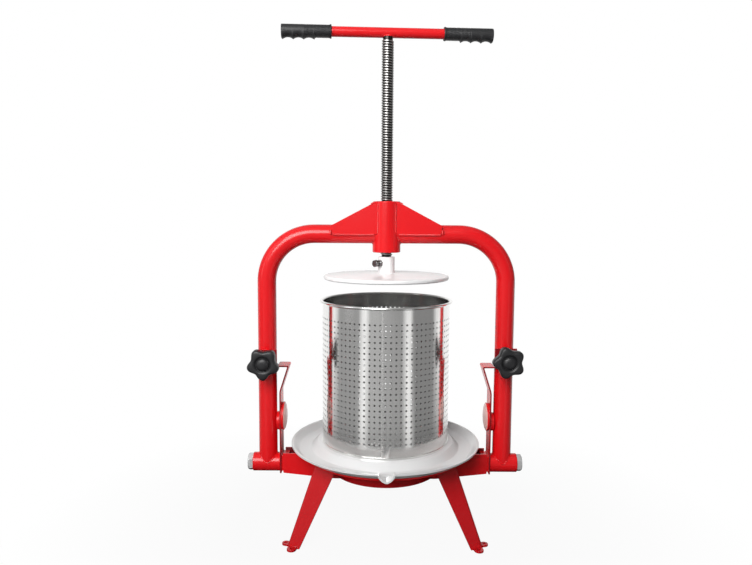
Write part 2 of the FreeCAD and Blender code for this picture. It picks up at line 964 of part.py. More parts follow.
grip_length = size("grip_length")
grip_radius = size("grip_radius")
collar_length = size("grip_collar_length")
collar_radius = size("grip_collar_radius")
finger_length = size("finger_length")
finger_scallop = size("finger_scallop")
finger_drop = size("finger_drop")
ridge_radius = size("finger_ridge_radius")
ridge_drop = finger_drop + ridge_radius
scallop_drop = grip_radius + finger_scallop
hollow_rise = scallop_drop - ridge_drop
hollow_half = (finger_scallop * finger_scallop - hollow_rise * hollow_rise).root()
hollow_room = finger_length - size("finger_first") + hollow_half
hollow_count = math.ceil((hollow_room / size("finger_pitch")).value)
for side, sign in SIDES.items():
    grip = new_body("grip_" + side)
    pad(grip, rings(grip, "YZ_Plane", [(0, 0, grip_radius)], 0), grip_length)
    pad(grip, rings(grip, "YZ_Plane", [(0, 0, collar_radius)], grip_length - collar_length), collar_length)
    pad(grip, rings(grip, "YZ_Plane", [(0, -finger_drop, ridge_radius)], 0), finger_length)
    doc.recompute()
    scallops = [
        (
            size("finger_first") + size("finger_pitch") * number,
            -scallop_drop,
            finger_scallop,
        )
        for number in range(hollow_count)
    ]
    for scallop in scallops:
        pocket(grip, rings(grip, "XZ_Plane", [scallop]), grip_radius * 4, middle=True)
    pocket(
        grip,
        rings(grip, "YZ_Plane", [(0, 0, handle_radius)], grip_wall),
        grip_length,
        back=True,
    )
    inward = FreeCAD.Rotation() if sign < 0 else FreeCAD.Rotation(FreeCAD.Vector(0, 0, 1), 180)
    place(
        grip,
        handle_half * sign * math.cos(handle_angle),
        handle_half * sign * math.sin(handle_angle),
        handle_height,
        handle_turn * inward,
    )

# Press plate: shallow crown on top, flat below, with a boss and a side bolt for the journal
plate_radius = basket_radius - size("basket_wall") - size("plate_play")
edge_round = size("plate_edge_round")
plate = new_body("press_plate")
turned(
    plate,
    [
        (0, plate_bottom),
        (plate_radius - edge_round, plate_bottom),
        (plate_radius, plate_bottom + edge_round),
        (plate_radius, rim_top - edge_round),
        (plate_radius - edge_round, rim_top),
        (size("boss_pad"), plate_top),
        (0, plate_top),
    ],
)

boss = new_body("plate_boss")
bore = journal_radius + size("journal_gap")
turned(
    boss,
    [
        (0, plate_top),
        (boss_radius, plate_top),
        (boss_radius, boss_top),
        (bore, boss_top),
        (bore, journal_end),
        (0, journal_end),
    ],
)
pocket(
    boss,
    rings(boss, "YZ_Plane", [(0, bolt_height, side_bolt_radius + play)]),
    boss_radius + past,
    back=True,
)
place(boss, rotation=FreeCAD.Rotation(FreeCAD.Vector(0, 0, 1), PLATE_BOLT_AZIMUTH))
bolt_angle = math.radians(PLATE_BOLT_AZIMUTH)
bolt_way = (math.cos(bolt_angle), math.sin(bolt_angle), 0)

tip = groove_radius + size("plate_bolt_tip_gap")
bolt_reach = size("plate_bolt_reach")
side_flats = size("plate_bolt_flats")
side_bolt = new_body("plate_bolt")
pad(side_bolt, rings(side_bolt, "XY_Plane", [(0, 0, side_bolt_radius)], tip), bolt_reach - tip)
pad(side_bolt, hexagon(side_bolt, "XY_Plane", side_flats, bolt_reach), size("plate_bolt_head"))
place(side_bolt, 0, 0, bolt_height, towards(bolt_way))

side_nut = new_body("plate_nut")
pad(
    side_nut,
    hexagon(side_nut, "XY_Plane", side_flats, boss_radius),
    size("plate_nut_thickness"),
)
pocket(
    side_nut,
    rings(side_nut, "XY_Plane", [(0, 0, side_bolt_radius + play)], boss_radius - past),
    size("plate_nut_thickness") + past * 2,
    back=True,
)
place(side_nut, 0, 0, bolt_height, towards(bolt_way))

# Basket: open cylinder with a rolled bead round the rim and a hem round the foot
tray_top = table_top + size("tray_sheet")
basket_top = tray_top + size("basket_height")
bead = size("basket_bead")
foot_height = size("basket_foot_height")
shell = new_body("basket_shell")
turned(
    shell,
    tube_section(basket_radius - size("basket_wall"), basket_radius, tray_top, basket_top - bead),
)

bead_body = new_body("basket_rim")
bead_sketch = rings(bead_body, "XZ_Plane", [(basket_radius + bead, basket_top - bead, bead)])
bead_turn = bead_body.newObject("PartDesign::Revolution", "bead_turn")
bead_turn.Profile = bead_sketch
bead_turn.ReferenceAxis = (bead_sketch, ["V_Axis"])
bead_turn.Angle = 360

hem = new_body("basket_foot")
turned(
    hem,
    tube_section(
        basket_radius,
        basket_radius + size("basket_foot_wall"),
        tray_top,
        tray_top + foot_height,
    ),
)

# Juice tray: raised plateau for the basket, gutter round it, flared rim and a pouring spout
tray_sheet = size("tray_sheet")
rim_height = tray_top - size("tray_rim_drop")
gutter_floor = gutter_under + tray_sheet
tray_lip = size("tray_lip")
tray = new_body("juice_tray")
turned(
    tray,
    [
        (0, tray_top),
        (0, table_top),
        (plateau - tray_sheet, table_top),
        (gutter_in - tray_sheet, gutter_under),
        (gutter_out + tray_sheet / 2, gutter_under),
        (rim_in + tray_sheet / 2, rim_height - tray_lip),
        (tray_radius, rim_height - tray_lip),
        (tray_radius, rim_height),
        (rim_in, rim_height),
        (gutter_out, gutter_floor),
        (gutter_in, gutter_floor),
        (plateau, tray_top),
    ],
)
soften(
    tray,
    "Fillet",
    size("tray_round"),
    lambda edge: ring_edge(edge, plateau, tray_top)
    or ring_edge(edge, gutter_in, gutter_floor)
    or ring_edge(edge, gutter_out, gutter_floor),
)
spout_start = gutter_out + size("spout_past_gutter")
spout_tip = tray_radius + size("spout_past_rim")


def trough_section(half_width, depth, top):
    """Half way between a V and a half ellipse, hung from a level top edge."""
    points = []
    for step in range(SPOUT_STEPS + 1):
        angle = math.pi * step / SPOUT_STEPS
        across = math.copysign(abs(math.cos(angle)) ** SPOUT_POINT, math.cos(angle))
        down = math.sin(angle) ** SPOUT_POINT if 0 < step < SPOUT_STEPS else 0.0
        points.append((half_width * across if step * 2 != SPOUT_STEPS else 0, top - depth * down))
    return points


spout_half = size("spout_half_width")
spout_depth = size("spout_depth")
spout_wall = size("spout_wall")
pad(
    tray,
    outline(tray, "XZ_Plane", trough_section(spout_half, spout_depth, rim_height), spout_start),
    spout_tip - spout_start,
)
doc.recompute()
hollow = trough_section(spout_half - spout_wall, spout_depth - spout_wall, rim_height)
brim = rim_height + past
hollow = [(spout_half - spout_wall, brim)] + hollow + [(spout_wall - spout_half, brim)]
pocket(
    tray,
    outline(tray, "XZ_Plane", hollow, spout_start - spout_half / 2),
    spout_tip - spout_start + spout_half,
    back=True,
)

# Star knob with its stud, the nut welded to the lug, and a plain washer between them
nut_front = lug_front + size("knob_nut_thickness")
washer_front = nut_front + size("washer_thickness")
stud_tip = tube_radius + size("stud_tip_gap")
hub_depth = size("knob_hub_length")
head_depth = size("knob_head")
knob_radius = size("knob_radius")
knob_front = hub_depth + head_depth
dome_radius = size("knob_dome_radius")
ring_radius = size("knob_ring_radius")
stud_into = size("stud_into_knob")
knob_way = FreeCAD.Rotation(FreeCAD.Vector(1, 0, 0), 90)
for side, sign in SIDES.items():
    nut = new_body("lock_nut_" + side)
    pad(nut, hexagon(nut, "XY_Plane", size("knob_nut_flats"), None, 0.0), size("knob_nut_thickness"))
    pocket(
        nut,
        rings(nut, "XY_Plane", [(0, 0, stud_radius + play)], -past),
        size("knob_nut_thickness") + past * 2,
        back=True,
    )
    place(nut, tube_reach * sign, -lug_front, knob_levels[side], knob_way)

    washer = new_body("knob_washer_" + side)
    turned(
        washer,
        tube_section(
            stud_radius + play, size("washer_radius"), 0 * gap, size("washer_thickness")
        ),
    )
    place(washer, tube_reach * sign, -nut_front, knob_levels[side], knob_way)

    stud = new_body("knob_stud_" + side)
    stud_length = washer_front + stud_into - stud_tip
    turned(stud, [(0, 0), (stud_radius, 0), (stud_radius, stud_length), (0, stud_length)])
    place(stud, tube_reach * sign, -stud_tip, knob_levels[side], knob_way)

    knob = new_body("star_knob_" + side)
    pad(knob, rings(knob, "XY_Plane", [(0, 0, knob_radius)], hub_depth), head_depth)
    notch = rings(
        knob,
        "XY_Plane",
        [(knob_radius + size("knob_scallop_out"), 0, size("knob_scallop"))],
        hub_depth - past,
    )
    pattern(
        knob,
        pocket(knob, notch, head_depth + past * 2, back=True),
        notch,
        LOBES,
    )
    soften(
        knob,
        "Fillet",
        size("knob_lobe_round"),
        lambda edge: edge.BoundBox.ZLength > head_depth.value - 0.01,
    )
    soften(
        knob,
        "Fillet",
        size("knob_edge_round"),
        lambda edge: edge.BoundBox.ZMin > knob_front.value - 0.01,
    )
    ring_cut = rings(
        knob,
        "XY_Plane",
        [(0, 0, ring_radius), (0, 0, dome_radius)],
        knob_front - size("knob_ring_depth"),
    )
    pocket(knob, ring_cut, size("knob_ring_depth") + past, back=True)
    dome_high = size("knob_dome_height")
    crown = outline(
        knob,
        "XZ_Plane",
        [
            (0, knob_front - size("knob_ring_depth")),
            (dome_radius * 0.9, knob_front - size("knob_ring_depth")),
            (dome_radius * 0.9, knob_front + dome_high * 0.3),
            (dome_radius * 0.6, knob_front + dome_high * 0.85),
            (0, knob_front + dome_high),
        ],
    )
    crown_turn = knob.newObject("PartDesign::Revolution", "crown_turn")
    crown_turn.Profile = crown
    crown_turn.ReferenceAxis = (crown, ["V_Axis"])
    crown_turn.Angle = 360
    pad(knob, rings(knob, "XY_Plane", [(0, 0, size("knob_hub_radius"))]), hub_depth)
    doc.recompute()
    pocket(
        knob,
        rings(knob, "XY_Plane", [(0, 0, stud_radius)], -past),
        stud_into + past,
        back=True,
    )
    place(
        knob,
        tube_reach * sign,
        -washer_front,
        knob_levels[side],
        knob_way * FreeCAD.Rotation(FreeCAD.Vector(0, 0, 1), KNOB_TURN[side] + 180.0 / LOBES),
    )

doc.recompute()

# Every object has to be in order before anything is written
for item in doc.Objects:
    if "Invalid" in item.State or "Error" in item.State:
        raise RuntimeError("%s is not in order: %s" % (item.Name, item.State))
for body in bodies:
    if body.Shape.isNull() or not body.Shape.isValid() or not body.Shape.Solids:
        raise RuntimeError("%s has no sound solid" % body.Label)

os.makedirs("parts", exist_ok=True)
for body in bodies:
    body.Shape.exportStep(os.path.join("parts", body.Label + ".step"))
print("%d parts written" % len(bodies))
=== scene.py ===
import json
import math

import bmesh
import bpy
from bpy.props import FloatProperty, FloatVectorProperty, IntProperty, PointerProperty
from bpy.types import Operator, Panel, PropertyGroup
from mathutils import Matrix, Vector


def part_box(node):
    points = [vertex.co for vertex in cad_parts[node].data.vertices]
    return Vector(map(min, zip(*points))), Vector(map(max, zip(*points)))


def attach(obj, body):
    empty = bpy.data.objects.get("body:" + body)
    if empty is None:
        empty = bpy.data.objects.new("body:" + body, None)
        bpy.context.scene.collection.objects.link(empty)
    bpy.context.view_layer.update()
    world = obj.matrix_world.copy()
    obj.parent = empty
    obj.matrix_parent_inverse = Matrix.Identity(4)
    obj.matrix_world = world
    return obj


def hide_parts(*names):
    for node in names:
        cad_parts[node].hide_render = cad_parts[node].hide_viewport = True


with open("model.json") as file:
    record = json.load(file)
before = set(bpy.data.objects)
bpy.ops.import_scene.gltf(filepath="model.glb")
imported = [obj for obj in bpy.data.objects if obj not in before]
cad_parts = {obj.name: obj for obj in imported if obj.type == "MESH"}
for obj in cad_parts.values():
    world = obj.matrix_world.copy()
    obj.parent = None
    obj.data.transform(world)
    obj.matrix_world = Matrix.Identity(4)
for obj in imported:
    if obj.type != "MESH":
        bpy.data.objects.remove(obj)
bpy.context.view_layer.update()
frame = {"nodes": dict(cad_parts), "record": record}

bl_info = {
    "name": "Fruit press",
    "version": (1, 0, 0),
    "blender": (4, 5, 0),
    "location": "3D View > Sidebar > Fruit press",
    "description": "Dresses the frame of a floor-standing screw press with its finished pieces",
    "category": "Object",
}

SIDES = (("left", -1), ("right", 1))
TURN = 2 * math.pi
SIXTH = TURN / 6

# Sizes of the frame that no bounding box gives, in metres
UPRIGHT_REACH = 0.2443
TUBE_RADIUS = 0.019
TUBE_BEND = 0.098
STRIP = 0.003
KNOB_TURNS = {"left": -20, "right": 37}
PIVOT_HEAD = 0.0105
PIVOT_FLATS = 0.032
LOCK_FLATS = 0.018
PLATE_BOLT_FLATS = 0.013

# Fitted view and the two bright bands that the basket mirrors: painted reflections of soft boxes on the floor
CAMERA_PLACE = (-0.02085, -1.337, 0.6386)
CAMERA_PITCH = 84.55
CAMERA_ROLL = 0.33
SOFT_BOX_AZIMUTH = 0.66


def colour(name, shade, description):
    return FloatVectorProperty(
        name=name, description=description, default=shade, size=3, min=0, max=1, subtype="COLOR"
    )


def measure(name, default, description):
    return FloatProperty(name=name, description=description, default=default, unit="LENGTH", precision=5)


def share(name, default, description):
    return FloatProperty(name=name, description=description, default=default)


def angle(name, degrees, description):
    return FloatProperty(name=name, description=description, default=math.radians(degrees), subtype="ANGLE")


def power(name, default, description):
    return FloatProperty(name=name, description=description, default=default, unit="POWER")


class FinishColours(PropertyGroup):
    red_coat: colour("Red coat", (0.8, 0.008, 0.012), "Gloss powder coat of the frame")
    # A darker copy of the red coat: painted shade on the legs and the drum.
    base_coat: colour("Shaded base coat", (0.56, 0.004, 0.008), "Red coat darkened as painted shade on the legs and the drum")
    white_coat: colour("White coat", (0.98, 0.98, 0.98), "Gloss coat of the press plate")
    # The white coat greyed for the tray: painted shade.
    tray_coat: colour("Tray coat", (0.72, 0.72, 0.72), "Gloss white coat of the tray, greyed as painted shade")
    basket_steel: colour("Basket steel", (0.92, 0.915, 0.9), "Polished stainless sheet")
    spindle_steel: colour("Spindle steel", (0.43, 0.42, 0.41), "Crest of the oiled thread")
    spindle_root: colour("Thread root", (0.035, 0.032, 0.03), "Dark tone towards the thread root")
    zinc_steel: colour("Zinc", (0.84, 0.84, 0.84), "Bolts, nuts and washers")
    nut_bronze: colour("Bronze", (0.5, 0.3, 0.12), "Nut that the spindle runs in")
    dark_bolt: colour("Dark bolt", (0.26, 0.26, 0.26), "Side bolt of the press plate")
    # Pale tone on the buffer discs' domed face: a painted sheen on the red coat.
    disc_face: colour("Disc face sheen", (0.84, 0.5, 0.46), "Pale face of the buffer discs")
    knob_plastic: colour("Knob", (0.009, 0.009, 0.01), "Moulded star knobs")
    grip_rubber: colour("Grip", (0.007, 0.007, 0.008), "Moulded hand grips")


class ThreadSizes(PropertyGroup):
    pitch: measure("Pitch", 0.005, "Rise of the spindle thread in one turn")
    depth: measure("Depth", 0.0022, "Height of the thread from root to crest")
    crest_share: share("Crest share", 0.36, "Width of the crest over the pitch")
    run_out: measure("Run-out", 0.004, "Plain length left at each end of the thread")


class BasketSizes(PropertyGroup):
    columns: IntProperty(name="Columns", description="Upright rows of holes", default=80, min=8)
    rows: IntProperty(name="Rows", description="Rings of holes", default=22, min=2)
    hole: measure("Hole", 0.0040, "Width of a hole")
    row_pitch: measure("Row pitch", 0.01095, "Height from one ring of holes to the next")
    first_row: measure("First row", 0.0287, "Height of the lowest ring of holes over the foot")
    wall: measure("Wall", 0.0015, "Thickness of the sheet")
    seam_turn: angle("Seam turn", -3.2, "Turn of the welded seam from the front")
    seam_width: measure("Seam width", 0.0045, "Width of the ground weld line")


class HandleSizes(PropertyGroup):
    turn: angle("Turn", 3.5, "Turn of the handle about the spindle")
    reach: measure("Reach", 0.21, "Distance from the spindle's axis to the outer end of a grip")
    length: measure("Grip length", 0.099, "Length of a grip")
    radius: measure("Grip radius", 0.0124, "Radius of a grip between its ribs")
    collar: measure("Collar", 0.004, "Length of the collar at the inner end")
    plain: measure("Plain part", 0.046, "Length from the outer end to the first rib")
    rib_pitch: measure("Rib pitch", 0.0027, "Distance from one ring rib to the next")
    rib_height: measure("Rib height", 0.0006, "Height of a ring rib")
    finger_pitch: measure("Finger pitch", 0.0206, "Distance between finger hollows")
    finger_first: measure("First finger", 0.0133, "Distance of the first hollow from the end")
    finger_length: measure("Finger length", 0.0675, "Length of the part with finger hollows")


class WeldSizes(PropertyGroup):
    radius: measure("Bead", 0.0022, "Half width of a weld bead")
    ripple: measure("Ripple", 0.0026, "Length of one ripple of a bead")
    roughness: share("Unevenness", 0.3, "Share by which the ripples swell")


class StudioSizes(PropertyGroup):
    key_power: power("Key light", 30.5, "Power of the lamp beside the camera")
    left_power: power("Left light", 6.0, "Power of the lamp on the left")
    right_power: power("Right light", 2.0, "Power of the lamp on the right")
    top_power: power("Top light", 9.0, "Power of the lamp overhead")
    room_light: share("Room", 0.05, "Even light from all round")
    lens: share("Lens", 31.385, "Focal length in millimetres on a 36 mm frame")


class PressSettings(PropertyGroup):
    colours: PointerProperty(type=FinishColours)
    thread: PointerProperty(type=ThreadSizes)
    basket: PointerProperty(type=BasketSizes)
    handle: PointerProperty(type=HandleSizes)
    weld: PointerProperty(type=WeldSizes)
    studio: PointerProperty(type=StudioSizes)


# Node trees
def both(operation):
    """The two methods of an operator: with the field on its left and on its right."""
    return (
        lambda field, other: field.grower.sum(operation, field, other),
        lambda field, other: field.grower.sum(operation, other, field),
    )


class Field:
    """A number that changes over a shape or surface, kept as the socket that gives it."""

    __add__, __radd__ = both("ADD")
    __sub__, __rsub__ = both("SUBTRACT")
    __mul__, __rmul__ = both("MULTIPLY")
    __truediv__, __rtruediv__ = both("DIVIDE")

    def __init__(self, grower, socket):
        self.grower = grower
        self.socket = socket


class Grower:
    """Adds nodes to a tree and plugs their sockets."""

    def __init__(self, tree):
        self.tree = tree

    def plug(self, socket, value):
        if isinstance(value, Field):
            value = value.socket
        if isinstance(value, bpy.types.NodeSocket):
            self.tree.links.new(value, socket)
        else:
            socket.default_value = value

    def add(self, kind, inputs=None, **settings):
        node = self.tree.nodes.new(kind)
        for name, value in settings.items():
            setattr(node, name, value)
        for key, value in (inputs or {}).items():
            self.plug(node.inputs[key], value)
        return node

    def sum(self, operation, *values):
        node = self.add("ShaderNodeMath", dict(enumerate(values)), operation=operation)
        return Field(self, node.outputs[0])

    def mix(self, factor, low, high):
        return low + (high - low) * factor

    def parts(self, vector):
        node = self.add("ShaderNodeSeparateXYZ", {0: vector})
        return [Field(self, socket) for socket in node.outputs]

    def vector(self, x=0.0, y=0.0, z=0.0):
        return self.add("ShaderNodeCombineXYZ", {0: x, 1: y, 2: z}).outputs[0]


SOCKETS = {
    "shape": "NodeSocketGeometry",
    "number": "NodeSocketFloat",
    "count": "NodeSocketInt",
    "material": "NodeSocketMaterial",
    "colour": "NodeSocketColor",
    "vector": "NodeSocketVector",
}


def geometry_tree(name, grow, numbers, counts=()):
    """A geometry tree with named inputs; grow gets the inputs and returns the shape's socket."""
    if name in bpy.data.node_groups:
        return bpy.data.node_groups[name]
    tree = bpy.data.node_groups.new(name, "GeometryNodeTree")
    kinds = {"Shape": "shape", **dict.fromkeys(counts, "count"), **dict.fromkeys(numbers, "number")}
    for label, kind in {**kinds, "Material": "material"}.items():
        tree.interface.new_socket(label, in_out="INPUT", socket_type=SOCKETS[kind])
    tree.interface.new_socket("Shape", in_out="OUTPUT", socket_type=SOCKETS["shape"])
    grower = Grower(tree)
    start = grower.add("NodeGroupInput")
    given = {
        label: start.outputs[label] if kind == "shape" else Field(grower, start.outputs[label])
        for label, kind in kinds.items()
    }
    realized = grower.add("GeometryNodeRealizeInstances", {0: grow(grower, given)})
    coated = grower.add(
        "GeometryNodeSetMaterial", {"Geometry": realized.outputs[0], "Material": start.outputs["Material"]}
    )
    grower.add("NodeGroupOutput", {0: coated.outputs[0]})
    return tree


def grown(tree, base=None, **values):
    """The plain mesh that a geometry tree makes from its inputs."""
    base = base or bpy.data.meshes.new("seed")
    carrier = bpy.data.objects.new("carrier", base)
    bpy.context.scene.collection.objects.link(carrier)
    modifier = carrier.modifiers.new("Grow", "NODES")
    modifier.node_group = tree
    for item in tree.interface.items_tree:
        key = item.name.lower().replace(" ", "_")
        if item.in_out == "INPUT" and key in values:
            modifier[item.identifier] = values.pop(key)
    if values:
        raise KeyError("%s has no input for %s" % (tree.name, ", ".join(values)))
    evaluated = carrier.evaluated_get(bpy.context.evaluated_depsgraph_get())
    mesh = bpy.data.meshes.new_from_object(evaluated)
    carrier.modifiers.remove(modifier)
    bpy.data.objects.remove(carrier)
    bpy.data.meshes.remove(base)
    if not mesh.polygons:
        raise RuntimeError("%s made an empty mesh" % tree.name)
    return mesh


def perforated_sheet(grower, given):
    """A tube wall of square tiles, each with a round hole, and plain bands above and below."""
    radius = given["Radius"]
    half_width = radius * math.pi / given["Columns"]
    half_height = given["Row pitch"] / 2
    tile = grower.add(
        "GeometryNodeMeshGrid", {"Size X": 1.0, "Size Y": 1.0, "Vertices X": 2, "Vertices Y": 13}
    )
    along, round_the_hole, _ = grower.parts(grower.add("GeometryNodeInputPosition").outputs[0])
    outward = along + 0.5
    turn = (round_the_hole + 0.5) * TURN + TURN / 8
    side, up = grower.sum("COSINE", turn), grower.sum("SINE", turn)
    reach = 1.0 / grower.sum("MAXIMUM", grower.sum("ABSOLUTE", side), grower.sum("ABSOLUTE", up))
    hole = given["Hole"] / 2
    place = grower.vector(
        side * grower.mix(outward, hole, reach * half_width),
        up * grower.mix(outward, hole, reach * half_height),
    )
    tile = grower.add("GeometryNodeSetPosition", {"Geometry": tile.outputs[0], "Position": place})
    field = grower.add(
        "GeometryNodeMeshGrid",
        {
            "Size X": half_width * 2 * (given["Columns"] - 1),
            "Size Y": half_height * 2 * (given["Rows"] - 1),
            "Vertices X": given["Columns"],
            "Vertices Y": given["Rows"],
        },
    )
    tiles = grower.add(
        "GeometryNodeInstanceOnPoints", {"Points": field.outputs[0], "Instance": tile.outputs[0]}
    )
    tiles = grower.add("GeometryNodeRealizeInstances", {0: tiles.outputs[0]})
    across, height, _ = grower.parts(grower.add("GeometryNodeInputPosition").outputs[0])
    middle = given["First row"] + half_height * (given["Rows"] - 1)
    angle = across / radius + math.pi + given["Seam turn"]
    bent = grower.vector(
        radius * grower.sum("SINE", angle), radius * grower.sum("COSINE", angle) * -1.0, height + middle
    )
    wall = grower.add("GeometryNodeSetPosition", {"Geometry": tiles.outputs[0], "Position": bent})
    wall = grower.add("GeometryNodeMergeByDistance", {"Geometry": wall.outputs[0], "Distance": 5e-5})
    top = middle + half_height * given["Rows"]
    bottom = middle - half_height * given["Rows"]
    level = grower.parts(grower.add("GeometryNodeInputPosition").outputs[0])[2]
    shape = wall
    for edge, past, end in ((top, "GREATER_THAN", given["Top"]), (bottom, "LESS_THAN", given["Floor"])):
        margin = -1e-4 if past == "GREATER_THAN" else 1e-4
        chosen = grower.sum(past, level, edge + margin)
        shape = grower.add(
            "GeometryNodeExtrudeMesh",
            {"Mesh": shape.outputs[0], "Selection": chosen, "Offset": grower.vector(z=end - edge)},
            mode="EDGES",
        )
    return shape.outputs[0]


# Height of the ridge with the part sunk in the core, over the depth of the thread
RIDGE_SUNK = 1.3


def screw_ridge(grower, given):
    """The ridge of a thread: a closed strip with a trapezoid section, wound about Z."""
    turns = given["Length"] / given["Pitch"]
    spiral = grower.add(
        "GeometryNodeCurveSpiral",
        {
            "Resolution": 28,
            "Rotations": turns,
            "Start Radius": given["Radius"],
            "End Radius": given["Radius"],
            "Height": given["Length"],
        },
    )
    upright = grower.add("GeometryNodeSetCurveNormal", {"Curve": spiral.outputs[0]}, mode="Z_UP")
    profile = grower.add(
        "GeometryNodeCurvePrimitiveQuadrilateral",
        {
            "Height": given["Depth"] * RIDGE_SUNK,
            "Bottom Width": given["Pitch"] * 0.98,
            "Top Width": given["Pitch"] * given["Crest share"],
            "Offset": 0.0,
        },
        mode="TRAPEZOID",
    )
    turned = grower.add(
        "GeometryNodeTransform",
        {"Geometry": profile.outputs[0], "Rotation": (0, 0, math.radians(90))},
    )
    ridge = grower.add(
        "GeometryNodeCurveToMesh",
        {"Curve": upright.outputs[0], "Profile Curve": turned.outputs[0], "Fill Caps": True},
    )
    lifted = grower.add(
        "GeometryNodeTransform",
        {"Geometry": ridge.outputs[0], "Translation": grower.vector(z=given["Start height"])},
    )
    return lifted.outputs[0]


def weld_bead(grower, given):
    """A rippled bead along the edges of the incoming mesh."""
    path = grower.add("GeometryNodeMeshToCurve", {"Mesh": given["Shape"]})
    points = grower.add(
        "GeometryNodeResampleCurve", {"Curve": path.outputs[0], "Length": given["Ripple"] / 4}, mode="LENGTH"
    )
    number = Field(grower, grower.add("GeometryNodeInputIndex").outputs[0])
    wave = grower.sum("FRACT", number / 4)
    noise = grower.add("ShaderNodeTexNoise", {"Scale": 300.0, "Detail": 1.0})
    noise = Field(grower, noise.outputs[0])
    swell = 1.0 + (wave - 0.5) * given["Unevenness"] + (noise - 0.5) * given["Unevenness"]
    section = grower.add("GeometryNodeCurvePrimitiveCircle", {"Resolution": 10, "Radius": 1.0})
    bead = grower.add(
        "GeometryNodeCurveToMesh",
        {
            "Curve": points.outputs[0],
            "Profile Curve": section.outputs[0],
            "Scale": given["Radius"] * swell,
            "Fill Caps": True,
        },
    )
    return grower.add(
        "GeometryNodeSetShadeSmooth", {"Geometry": bead.outputs[0], "Shade Smooth": True}
    ).outputs[0]


def hexagon_block(grower, given):
    """A nut or bolt head on Z: six flats, with the corners turned off at the top."""
    block = grower.add(
        "GeometryNodeMeshCylinder",
        {"Vertices": 72, "Side Segments": 8, "Fill Segments": 3, "Radius": 1.0, "Depth": given["Height"]},
    )
    x, y, z = grower.parts(grower.add("GeometryNodeInputPosition").outputs[0])
    angle = grower.sum("ARCTAN2", y, x)
    nearest = grower.sum("FRACT", angle / SIXTH + 0.5) - 0.5
    flat = given["Flats"] / 2 / grower.sum("COSINE", nearest * SIXTH)
    fall = given["Height"] / 2 - z
    cone = given["Flats"] * 0.475 + fall * 1.7
    reach = grower.sum("MINIMUM", flat, cone)
    place = grower.vector(x * reach, y * reach, z + given["Height"] / 2)
    return grower.add("GeometryNodeSetPosition", {"Geometry": block.outputs[0], "Position": place}).outputs[0]


# Plain mesh work
def mesh_of(work):
    """The mesh of a finished bmesh, with its faces turned outwards."""
    bmesh.ops.recalc_face_normals(work, faces=work.faces)
    mesh = bpy.data.meshes.new("piece")
    work.to_mesh(mesh)
    work.free()
    return mesh


def smooth(mesh, angle=35.0):
    """Smooth shading with the real corners kept sharp."""
    mesh.shade_smooth()
    mesh.set_sharp_from_angle(angle=math.radians(angle))


def hang(name, mesh, body, slot, material, *nodes, angle=35.0):
    """Puts a finished mesh on its body; it stands for the CAD nodes that are named."""
    mesh.name = name
    mesh.materials.clear()
    mesh.materials.append(material)
    smooth(mesh, angle)
    piece = bpy.data.objects.new(name, mesh)
    bpy.context.scene.collection.objects.link(piece)
    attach(piece, body)
    if nodes:
        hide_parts(*nodes)
    return piece


def body_of_node(node):
    for body, members in frame["record"]["behaviour"]["bodies"].items():
        if node in members:
            return body
    raise KeyError(node)


def clean_copy(node):
    """A node's mesh with its loose triangles joined and its flat faces whole."""
    work = bmesh.new()
    work.from_mesh(frame["nodes"][node].data)
    bmesh.ops.remove_doubles(work, verts=work.verts, dist=2e-6)
    bmesh.ops.dissolve_limit(
        work, angle_limit=math.radians(0.3), verts=work.verts, edges=work.edges, use_dissolve_boundaries=False
    )
    return work


def finished_copy(node, slot, material, edge=0.0005, folds=None, fold_radius=0.003, sheet=0.0):
    """A node's own shape with softened corners and rounded folds, as its finished piece."""
    work = clean_copy(node)
    if folds is not None:
        chosen = [item for item in work.edges if folds(*(vertex.co for vertex in item.verts))]
        outside = [item for item in chosen if item.is_convex]
        inside = [item for item in chosen if not item.is_convex]
        for edges, radius in ((outside, fold_radius), (inside, fold_radius - sheet)):
            bmesh.ops.bevel(
                work, geom=edges, offset=radius, segments=5, affect="EDGES", profile=0.5, clamp_overlap=True
            )
    mesh = bpy.data.meshes.new(node)
    work.to_mesh(mesh)
    work.free()
    piece = hang(node + "_finished", mesh, body_of_node(node), slot, material, node)
    if edge:
        bevel = piece.modifiers.new("Soft edges", "BEVEL")
        bevel.width = edge
        bevel.segments = 2
        bevel.limit_method = "ANGLE"
        bevel.angle_limit = math.radians(38)
    return piece


def skin(rows, columns, place):
    """A closed shape of rings round an axis; the first and last ring are single points."""
    work = bmesh.new()
    rings = []
    for row in range(rows + 1):
        if row in (0, rows):
            rings.append([work.verts.new(place(row / rows, 0.0))])
        else:
            rings.append([work.verts.new(place(row / rows, column / columns)) for column in range(columns)])
    for low, high in zip(rings, rings[1:]):
        for column in range(columns):
            after = (column + 1) % columns
            corners = [low[column % len(low)], low[after % len(low)]]
            corners += [high[after % len(high)], high[column % len(high)]]
            unique = [corner for number, corner in enumerate(corners) if corner not in corners[:number]]
            work.faces.new(unique)
    return mesh_of(work)


def tube_of(rings, endless):
    """A surface through closed rings of points, joined into an endless ring or capped at both ends."""
    work = bmesh.new()
    rings = [[work.verts.new(point) for point in ring] for ring in rings]
    pairs = list(zip(rings, rings[1:]))
    if endless:
        pairs.append((rings[-1], rings[0]))
    else:
        work.faces.new(rings[0])
        work.faces.new(rings[-1])
    for low, high in pairs:
        for step in range(len(low)):
            after = (step + 1) % len(low)
            work.faces.new((low[step], low[after], high[after], high[step]))
    return mesh_of(work)


def lathe(profile, columns=96):
    """A half section of (radius, height) pairs, first and last on the axis, turned about Z."""

    def place(along, around):
        number = round(along * (len(profile) - 1))
        radius, height = profile[number]
        angle = around * TURN
        return Vector((radius * math.cos(angle), radius * math.sin(angle), height))

    return skin(len(profile) - 1, columns, place)


def point_at(mesh, origin, direction, turn=0.0):
    """Turns a mesh made on Z so that it points along a direction from an origin."""
    swing = Vector((0, 0, 1)).rotation_difference(Vector(direction)).to_matrix().to_4x4()
    mesh.transform(Matrix.Translation(origin) @ swing @ Matrix.Rotation(turn, 4, "Z"))


